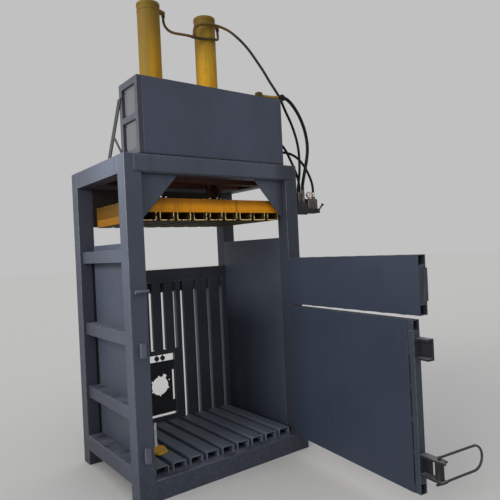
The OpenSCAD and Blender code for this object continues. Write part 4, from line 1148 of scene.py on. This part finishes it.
@dataclass
class Platen:
    """Box frame, channels, rods and pistons that move together."""

    flange_top: float = 1.975
    bolt_circle: float = 0.075
    bolt: float = 0.012
    bolt_tall: float = 0.011
    bolts: int = 8

    def build(self) -> None:
        """Fold the channels, dress the box frame and bolt the rods on."""
        Stock.dress("painted", Shelf.PLATEN, Round.BLOCK, "platen_frame", body=Body.PLATEN)
        row = FoldedRow(width=0.105, height=0.056, bend=0.009, low=1.782, front=0.022, rear=0.805,
                        open_above=True)
        row.build("platen_channels", Shelf.CHANNEL, Body.PLATEN)
        Stock.dress("ground", Shelf.CHROME, Round.SMALL, "rods", body=Body.PLATEN)
        Stock.dress("oiled", Shelf.STEEL, Round.SHEET, "pistons", body=Body.PLATEN)
        turns = [math.radians(360.0 * k / self.bolts) for k in range(self.bolts)]
        circle = [(self.bolt_circle * math.cos(t), self.bolt_circle * math.sin(t)) for t in turns]
        places = [((cx + x, cy + y, self.flange_top), UP)
                  for cx, cy in Cylinders().centres() for x, y in circle]
        StudRecipe(Shelf.STEEL).run("rod_flange_bolts", places, self.bolt, self.bolt_tall, HEX, Body.PLATEN)


@dataclass
class Door:
    """One swing door with its skin, tubes, stitch welds and, at a bare end, near-black strips that paint the
    shadow in the open joint.
    """

    key: str
    body: Body
    opened: float
    low: float
    high: float
    axis: Pair = (0.6035, -0.105)
    length: float = 1.188
    bare: float = 0.0
    seam: float = 0.04
    stitch: float = 0.05
    gap: float = 0.11
    end_stitch: float = 0.05
    end_gap: float = 0.11
    first_stitch: float = 0.03
    first_along: float = 0.08
    short: float = 0.02
    joint: float = 0.007
    joint_proud: float = 0.0005
    bead: float = 0.0025

    def build(self) -> None:
        """Soften the door's pieces and stitch the skin to the tubes."""
        Stock.dress("painted", Shelf.DOOR, Round.SMALL, self.key + "_skin", body=self.body)
        Stock.dress("painted", Shelf.DOOR_TUBE, Round.PLATE, self.key + "_rails", self.key + "_stiles",
                    body=self.body)
        BeadRecipe(Shelf.DOOR_TUBE).run(self.key + "_welds", self.seams(), self.body, self.bead)
        if self.bare:
            self.lay_skin_joint_shadow()

    def lay_skin_joint_shadow(self) -> None:
        """Lay near-black strips as painted shadow in the open joint between the tacks at the skin's edge."""
        name = self.key + "_joint"
        inner, low = self.bare - self.length, self.low + self.first_stitch + self.end_stitch
        mesh = Stock.blocks([((inner - self.joint, self.seam - self.joint_proud, low),
                              (inner, self.seam + self.joint_proud, low + self.end_gap))], name)
        turn = Matrix.Rotation(math.radians(self.opened), 4, "Z")
        mesh.transform(Matrix.Translation((*self.axis, 0.0)) @ turn)
        pitch = self.end_stitch + self.end_gap
        count = int((self.high - self.short - low) / pitch)
        RowRecipe(Shelf.JOINT_SHADOW).bake(name, mesh, self.body, {"Count": count, "Offset": (0.0, 0.0, pitch)})

    def world(self, x: float, z: float) -> Point:
        """Take a point of the skin's edge from the closed door's frame to the machine's frame at rest."""
        sin, cos = math.sin(math.radians(self.opened)), math.cos(math.radians(self.opened))
        return self.axis[0] + x * cos - self.seam * sin, self.axis[1] + x * sin + self.seam * cos, z

    def seams(self) -> list[Line]:
        """List the stitch welds along the free end and the long edges.

        Returns:
            Lines in metres.
        """
        lines: list[Line] = []
        end, z = self.bare - self.length, self.low + self.first_stitch
        while z + self.end_stitch < self.high - self.short:
            lines.append([self.world(end, z), self.world(end, z + self.end_stitch)])
            z += self.end_stitch + self.end_gap
        for edge in (self.low, self.high):
            x = self.first_along
            while x + self.stitch < self.length - self.bare - self.first_stitch:
                lines.append([self.world(-x, edge), self.world(-x - self.stitch, edge)])
                x += self.stitch + self.gap
        return lines


class Latch:
    """Brackets on the lower door and the hand hoop."""

    def build(self) -> None:
        """Soften brackets and hoop."""
        Stock.dress("painted", Shelf.BRACKET, Round.PANEL, "latch_brackets", body=Body.LOWER_DOOR)
        Stock.dress("bent", Shelf.HOOP, Round.SHEET, "latch_hoop", body=Body.LATCH_HOOP)


@dataclass
class Valve:
    """Shelf, block, spool valve, ferrules and lever on the right post."""

    top: float = 1.949
    block_top: float = 1.916
    screws: tuple[Pair, ...] = ((0.870, -0.018), (0.870, 0.018), (0.905, -0.018), (0.905, 0.018))
    screw: float = 0.006
    screw_sides: int = 12
    on_block: tuple[Point, ...] = ((0.780, 0.005, 2.003), (0.822, -0.005, 2.022), (0.830, 0.042, 2.003))
    on_body: Point = (0.940, 0.0, 2.003)
    ring: float = 0.0142
    ring_sides: int = 24
    ring_room: float = 0.005
    ring_tall: float = 0.004
    ring_pitch: float = 0.009
    rings: int = 4
    nut: float = 0.0175
    nut_tall: float = 0.018
    hex_share: float = 0.4

    def build(self) -> None:
        """Soften the valve's pieces, add screws, nuts and crimp rings."""
        Stock.dress("painted", Shelf.BLACK, Round.SMALL, "valve_shelf")
        Stock.dress("cast", Shelf.CAST, Round.BLOCK, "valve_block")
        Stock.dress("plated", Shelf.ZINC, Round.PLATE, "valve_body")
        Stock.dress("plated", Shelf.FERRULE, Round.SHEET, "hose_ferrules")
        Stock.dress("cast", Shelf.CAST, Round.SMALL, "valve_lever", body=Body.VALVE_LEVER)
        screws = [((x, y, self.top), UP) for x, y in self.screws]
        StudRecipe(Shelf.STEEL).run("valve_screws", screws, self.screw, self.screw, self.screw_sides)
        rings, nuts = [], []
        hoses = [(place, self.block_top) for place in self.on_block] + [(self.on_body, self.top)]
        for (x, y, head), foot in hoses:
            nuts.append(((x, y, foot), UP))
            start = foot + self.hex_share * (head - foot) + 2 * self.ring_tall
            heights = [start + k * self.ring_pitch for k in range(self.rings)]
            rings += [((x, y, z), UP) for z in heights if z + self.ring_room < head]
        StudRecipe(Shelf.FERRULE).run("ferrule_crimps", rings, self.ring, self.ring_tall, self.ring_sides)
        StudRecipe(Shelf.ZINC).run("hose_nuts", nuts, self.nut, self.nut_tall, HEX)


@dataclass
class Gauge:
    """Small pressure gauge that stands on the spool valve."""

    centre: Point = (0.8875, -0.006, 1.983)
    foot: float = 1.949
    radius: float = 0.024
    depth: float = 0.020
    rim: float = 0.003
    sunk: float = 0.002
    lip: float = 0.001
    stem: float = 0.006
    collar: float = 1.6
    collar_tall: float = 0.005
    turned: float = -20.0
    ticks: int = 9
    tick: Pair = (0.0011, 0.0005)
    tick_ring: float = 0.7
    point: Pair = (0.0013, 0.0008)
    point_sides: int = 8
    point_count: int = 9
    point_start: float = -0.15
    point_step: float = 0.1
    case_steps: int = 48
    stem_steps: int = 24
    on_dial_face: float = 1e-5
    sweep: float = 270.0
    reading: float = 20.0

    def out(self) -> Vector:
        """Give the way that the dial faces."""
        turn = math.radians(self.turned)
        return Vector((math.sin(turn), -math.cos(turn), 0.0))

    def on_dial(self, radius: float, angle: float) -> tuple[Point, Point]:
        """Give a point on the dial.

        Args:
            radius: distance from the dial's centre, as a share of the case's radius.
            angle: degrees from straight up, clockwise as the reader sees it.

        Returns:
            The point in metres and the way that it faces.
        """
        turn, out = math.radians(angle), self.out()
        across = Vector(UP).cross(out) * math.sin(turn) + Vector(UP) * math.cos(turn)
        dial = Vector(self.centre) + out * (self.depth / 2 - self.sunk)
        return tuple(dial + across * self.radius * radius), tuple(out)

    def build(self) -> None:
        """Turn the case, stand it on a stem, and set plain ticks and a pointer on the dial."""
        half, inner, dial = self.depth / 2, self.radius - self.rim, self.depth / 2 - self.sunk
        case = [(0.0, -half), (self.radius - self.sunk, -half), (self.radius, self.sunk - half),
                (self.radius, half - self.lip), (self.radius - self.lip, half), (inner, half), (inner, dial),
                (0.0, dial)]
        mesh = Stock.lathe(case, [(0.0, 0.0)], "pressure_gauge", self.case_steps)
        Stock.parted(mesh, (Shelf.GAUGE_CASE, Shelf.GAUGE_DIAL),
                     (abs(face.center.z - dial) < self.on_dial_face for face in mesh.polygons))
        upright = Matrix.Rotation(math.radians(90.0), 4, "X")
        turn = Matrix.Rotation(math.radians(self.turned), 4, "Z") @ upright
        mesh.transform(Matrix.Translation(self.centre) @ turn)
        Stock.place("pressure_gauge", mesh, Shelf.GAUGE_CASE)
        x, y, z = self.centre
        neck, wide, low = z - self.radius + self.rim, self.stem * self.collar, self.foot + self.collar_tall
        stem = [(0.0, self.foot), (wide, self.foot), (wide, low), (self.stem, low + self.lip),
                (self.stem, neck), (0.0, neck)]
        Stock.place("gauge_stem", Stock.lathe(stem, [(x, y)], "gauge_stem", self.stem_steps), Shelf.ZINC)
        start, gap = -self.sweep / 2, self.sweep / (self.ticks - 1)
        ticks = [self.on_dial(self.tick_ring, start + gap * k) for k in range(self.ticks)]
        StudRecipe(Shelf.CAST).run("gauge_ticks", ticks, *self.tick, HEX)
        trail = [self.on_dial(self.point_step * k + self.point_start, start + self.reading)
                 for k in range(self.point_count)]
        StudRecipe(Shelf.CAST).run("gauge_pointer", trail, *self.point, self.point_sides)


@dataclass
class Hose:
    """One hydraulic hose between two fittings, on a smooth curve through its route in millimetres."""

    key: str
    route: tuple[Point, ...]
    width: float
    finish: Shelf
    spacing: float = 0.012
    rounds: int = 5

    def smooth(self) -> list[Vector]:
        """Round the route with a spline through all of its points.

        Returns:
            Points along the hose, in metres.
        """
        nodes = [Vector(p) * MM for p in self.route]
        ends = [2 * nodes[0] - nodes[1]] + nodes + [2 * nodes[-1] - nodes[-2]]
        points: list[Vector] = []
        for a, b, c, d in zip(ends, ends[1:], ends[2:], ends[3:]):
            count = max(2, round((c - b).length / self.spacing))
            for t in (k / count for k in range(count)):
                points.append(0.5 * (2 * b + (c - a) * t + (2 * a - 5 * b + 4 * c - d) * t ** 2
                                     + (3 * b - a - 3 * c + d) * t ** 3))
        return points + [nodes[-1]]

    def build(self) -> None:
        points = self.smooth()
        line = Stock.tube(self.key + "_line", points, self.width / 2, self.rounds)
        line.materials.append(self.finish.value.material())
        piece = Stock.add(self.key + "_rubber", line)
        Stock.settle(piece, self.finish, Body.FRAME, [self.key])


@dataclass
class Hoses:
    """All hoses, on the routes of the solids, in millimetres."""

    thin: float = 0.020
    thick: float = 0.026
    left: tuple[Point, ...] = (
        (-122, 440, 3362), (-122, 440, 3332), (-115, 432, 3295), (-94, 418, 3262),
        (-60, 400, 3243), (-15, 380, 3236), (38, 370, 3235), (80, 370, 3235))
    right: tuple[Point, ...] = (
        (130, 370, 3235), (158, 370, 3235), (196, 352, 3236), (236, 332, 3238), (265, 338, 3240),
        (291, 349, 3246), (314, 366, 3256), (334, 386, 3270), (350, 406, 3288), (362, 423, 3309),
        (370, 436, 3335), (372, 440, 3348), (372, 440, 3362))
    supply: tuple[Point, ...] = (
        (105, 370, 3262), (105, 370, 3288), (116, 361, 3314), (148, 346, 3334), (195, 336, 3344),
        (245, 332, 3350), (300, 333, 3352), (350, 330, 3346), (406, 308, 3318), (464, 262, 3248),
        (510, 215, 3165), (548, 172, 3073), (580, 128, 2980), (610, 85, 2880), (640, 55, 2805),
        (665, 40, 2750), (708, 32, 2655), (762, 26, 2550), (800, 20, 2440), (815, 15, 2350),
        (817, 12, 2270), (811, 9, 2180), (795, 6, 2095), (780, 5, 2032), (780, 5, 2003))
    pressure: tuple[Point, ...] = (
        (437, -5, 2724), (500, -5, 2724), (560, -5, 2728), (612, -4, 2737), (660, -2, 2742),
        (705, 0, 2733), (750, 0, 2704), (795, 0, 2658), (838, 0, 2598), (878, 1, 2515), (900, 2, 2425),
        (902, 2, 2345), (886, 1, 2265), (856, -2, 2170), (830, -4, 2085), (822, -5, 2050), (822, -5, 2022))
    rod_side: tuple[Point, ...] = (
        (612, 70, 2400), (642, 70, 2400), (685, 64, 2380), (722, 58, 2333), (756, 53, 2270),
        (790, 48, 2200), (818, 45, 2130), (830, 42, 2065), (830, 42, 2003))
    back: tuple[Point, ...] = (
        (612, 110, 2330), (650, 110, 2330), (710, 104, 2334), (765, 90, 2330), (810, 74, 2312),
        (850, 58, 2282), (890, 38, 2225), (920, 18, 2150), (936, 5, 2085), (940, 0, 2035), (940, 0, 2003))

    def build(self) -> None:
        """Make every hose."""
        for hose in (Hose("hose_left", self.left, self.thin, Shelf.HOSE_SPRAYED),
                     Hose("hose_right", self.right, self.thin, Shelf.HOSE_SPRAYED),
                     Hose("hose_supply", self.supply, self.thin, Shelf.HOSE_SUPPLY),
                     Hose("hose_pressure", self.pressure, self.thick, Shelf.HOSE_PRESSURE),
                     Hose("hose_rod_side", self.rod_side, self.thin, Shelf.HOSE),
                     Hose("hose_return", self.back, self.thin, Shelf.HOSE)):
            hose.build()


@dataclass
class HoseTie:
    """Black band that holds two hoses together where they cross."""

    first: Point = (0.665, 0.040, 2.750)
    second: Point = (0.660, -0.002, 2.742)
    first_round: float = 0.0125
    second_round: float = 0.0155
    heading: Point = (0.75, -0.06, -0.55)
    band: float = 0.0042
    turns: int = 5
    steps: int = 8
    pitch: float = 0.0075
    tail: float = 0.02
    rounds: int = 3

    def winding(self) -> list[Vector]:
        """Give the path of the band: some turns around both hoses with a loose tail at each end.

        Returns:
            Points in metres.
        """
        start, end = Vector(self.first), Vector(self.second)
        along = Vector(self.heading).normalized()
        across = (start - end - along * (start - end).dot(along)).normalized()
        up = along.cross(across)
        points: list[Vector] = []
        for turn in range(self.turns):
            for half, (centre, radius, first) in enumerate(((start, self.first_round, -90.0),
                                                            (end, self.second_round, 90.0))):
                for k in range(self.steps + 1):
                    angle = math.radians(first + 180.0 * k / self.steps)
                    gone = turn + (half + k / (self.steps + 1)) / 2 - self.turns / 2
                    points.append(centre + radius * (across * math.cos(angle) + up * math.sin(angle))
                                  + along * self.pitch * gone)
        return [points[0] + (up - across) * self.tail] + points + [points[-1] + (up + across) * self.tail]

    def build(self) -> None:
        """Wind the band around both hoses."""
        former = bpy.data.objects.new("former", Stock.tube("former", self.winding(), self.band, self.rounds))
        Stock.place("hose_tie", bpy.data.meshes.new_from_object(former), Shelf.TIE)
        bpy.data.objects.remove(former)


@dataclass
class Studio:
    """Floor, light and the photograph's camera."""

    eye: Point = (-2.01728, -3.04422, 1.55017)
    yaw: float = 36.91
    pitch: float = 0.14
    roll: float = -2.73
    focal_px: float = 515.16
    frame_px: float = 500.0
    sensor: float = 36.0
    far: float = 200.0
    backdrop: Tone = (193, 193, 193)
    sky: float = 0.57
    floor_size: float = 60.0
    floor_seen: Tone = (217, 217, 217)
    floor_bounce: Tone = (188, 188, 188)
    floor_rough: float = 0.9
    lamp_tone: Point = (1.0, 0.97, 0.92)
    suns: tuple[tuple[str, Point, float, float], ...] = (
        ("key_sun", (0.97, 0.14, -0.20), 1.95, 40.0), ("fill_sun", (0.25, 0.80, -0.55), 0.3, 60.0))
    box_place: Point = (-2.3, 0.35, 2.40)
    box_aim: Point = (-0.7, 0.35, 2.25)
    box_size: Pair = (1.4, 0.5)
    box_power: float = 14.0
    box_spread: float = 100.0

    def build(self) -> None:
        """Set the floor, the lamps, the world and the camera."""
        self.lay_floor()
        self.light()
        self.surround()
        self.look()
        bpy.context.scene.view_settings.view_transform = "Standard"

    def lay_floor(self) -> None:
        """Make a wide pale floor."""
        work = bmesh.new()
        bmesh.ops.create_grid(work, x_segments=1, y_segments=1, size=self.floor_size)
        mesh = Stock.from_bmesh(work, "studio_floor")
        tree = ShaderTree("pale_floor")
        tone = tree.blend(tree.shown_rays(), self.floor_bounce, self.floor_seen)
        tree.feed(tree.shader, {"Base Color": tone, "Roughness": self.floor_rough, "Specular IOR Level": 0.0})
        mesh.materials.append(tree.material)
        Stock.add("studio_floor", mesh)

    def hang(self, name: str, kind: str, power: float, towards: Vector) -> Piece:
        """Hang a lamp.

        Args:
            name: the lamp's name.
            kind: its type.
            power: its strength.
            towards: the way that it shines.

        Returns:
            The lamp's object.
        """
        data = bpy.data.lights.new(name, kind)
        data.energy, data.color = power, self.lamp_tone
        lamp = Stock.add(name, data)
        lamp.rotation_mode = "QUATERNION"
        lamp.rotation_quaternion = towards.to_track_quat("-Z", "Y")
        return lamp

    def light(self) -> None:
        """Light from the left with a broad soft sun and a soft box, and from the front with a weak fill."""
        for name, towards, strength, spread in self.suns:
            self.hang(name, "SUN", strength, Vector(towards)).data.angle = math.radians(spread)
        box = self.hang("soft_box", "AREA", self.box_power, Vector(self.box_aim) - Vector(self.box_place))
        box.data.shape = "RECTANGLE"
        box.data.size, box.data.size_y = self.box_size
        box.data.spread = math.radians(self.box_spread)
        box.location = self.box_place
        box.visible_camera = False

    def surround(self) -> None:
        """Set an even world that shows as the plain backdrop."""
        world = bpy.data.worlds.new("studio_world")
        bpy.context.scene.world = world
        world.use_nodes = True
        wiring = Wiring(world.node_tree)
        wiring.tree.nodes.clear()
        sky = wiring.add("ShaderNodeBackground", {"Color": (1.0, 1.0, 1.0, 1.0), "Strength": self.sky})
        seen = wiring.add("ShaderNodeBackground", {"Color": linear(self.backdrop)})
        both = wiring.add("ShaderNodeMixShader", {0: wiring.shown_rays(), 1: sky.outputs["Background"],
                                                  2: seen.outputs["Background"]})
        wiring.add("ShaderNodeOutputWorld", {"Surface": both.outputs["Shader"]})

    def look(self) -> None:
        """Put the camera where the photograph was taken from."""
        yaw, pitch, roll = (math.radians(v) for v in (self.yaw, self.pitch, self.roll))
        ahead = Vector((math.sin(yaw) * math.cos(pitch), math.cos(yaw) * math.cos(pitch), math.sin(pitch)))
        right = Vector((math.cos(yaw), -math.sin(yaw), 0.0))
        up = right.cross(ahead)
        turned_right = math.cos(roll) * right + math.sin(roll) * up
        turned_up = -math.sin(roll) * right + math.cos(roll) * up
        data = bpy.data.cameras.new("photo_camera")
        data.sensor_width = self.sensor
        data.lens = self.focal_px / self.frame_px * self.sensor
        data.clip_end = self.far
        camera = Stock.add("photo_camera", data)
        columns = Matrix((turned_right, turned_up, -ahead)).transposed()
        camera.matrix_world = Matrix.Translation(self.eye) @ columns.to_4x4()
        bpy.context.scene.camera = camera


def main() -> None:
    """Build the studio, the hoses and every sub-assembly in order."""
    logging.basicConfig(level=logging.INFO, format="%(name)s: %(message)s")
    upper = Door("upper_door", Body.UPPER_DOOR, opened=86.0, low=1.140, high=1.486)
    lower = Door("lower_door", Body.LOWER_DOOR, opened=83.0, low=0.144, high=1.123, bare=0.042,
                 end_stitch=0.022, end_gap=0.165)
    for part in (Studio(), Hoses(), HoseTie(), SteelFrame(), Chamber(), HeadCabinet(), Cylinders(), Platen(),
                 upper, lower, Latch(), Valve(), Gauge()):
        part.build()


if __name__ == "__main__":
    main()
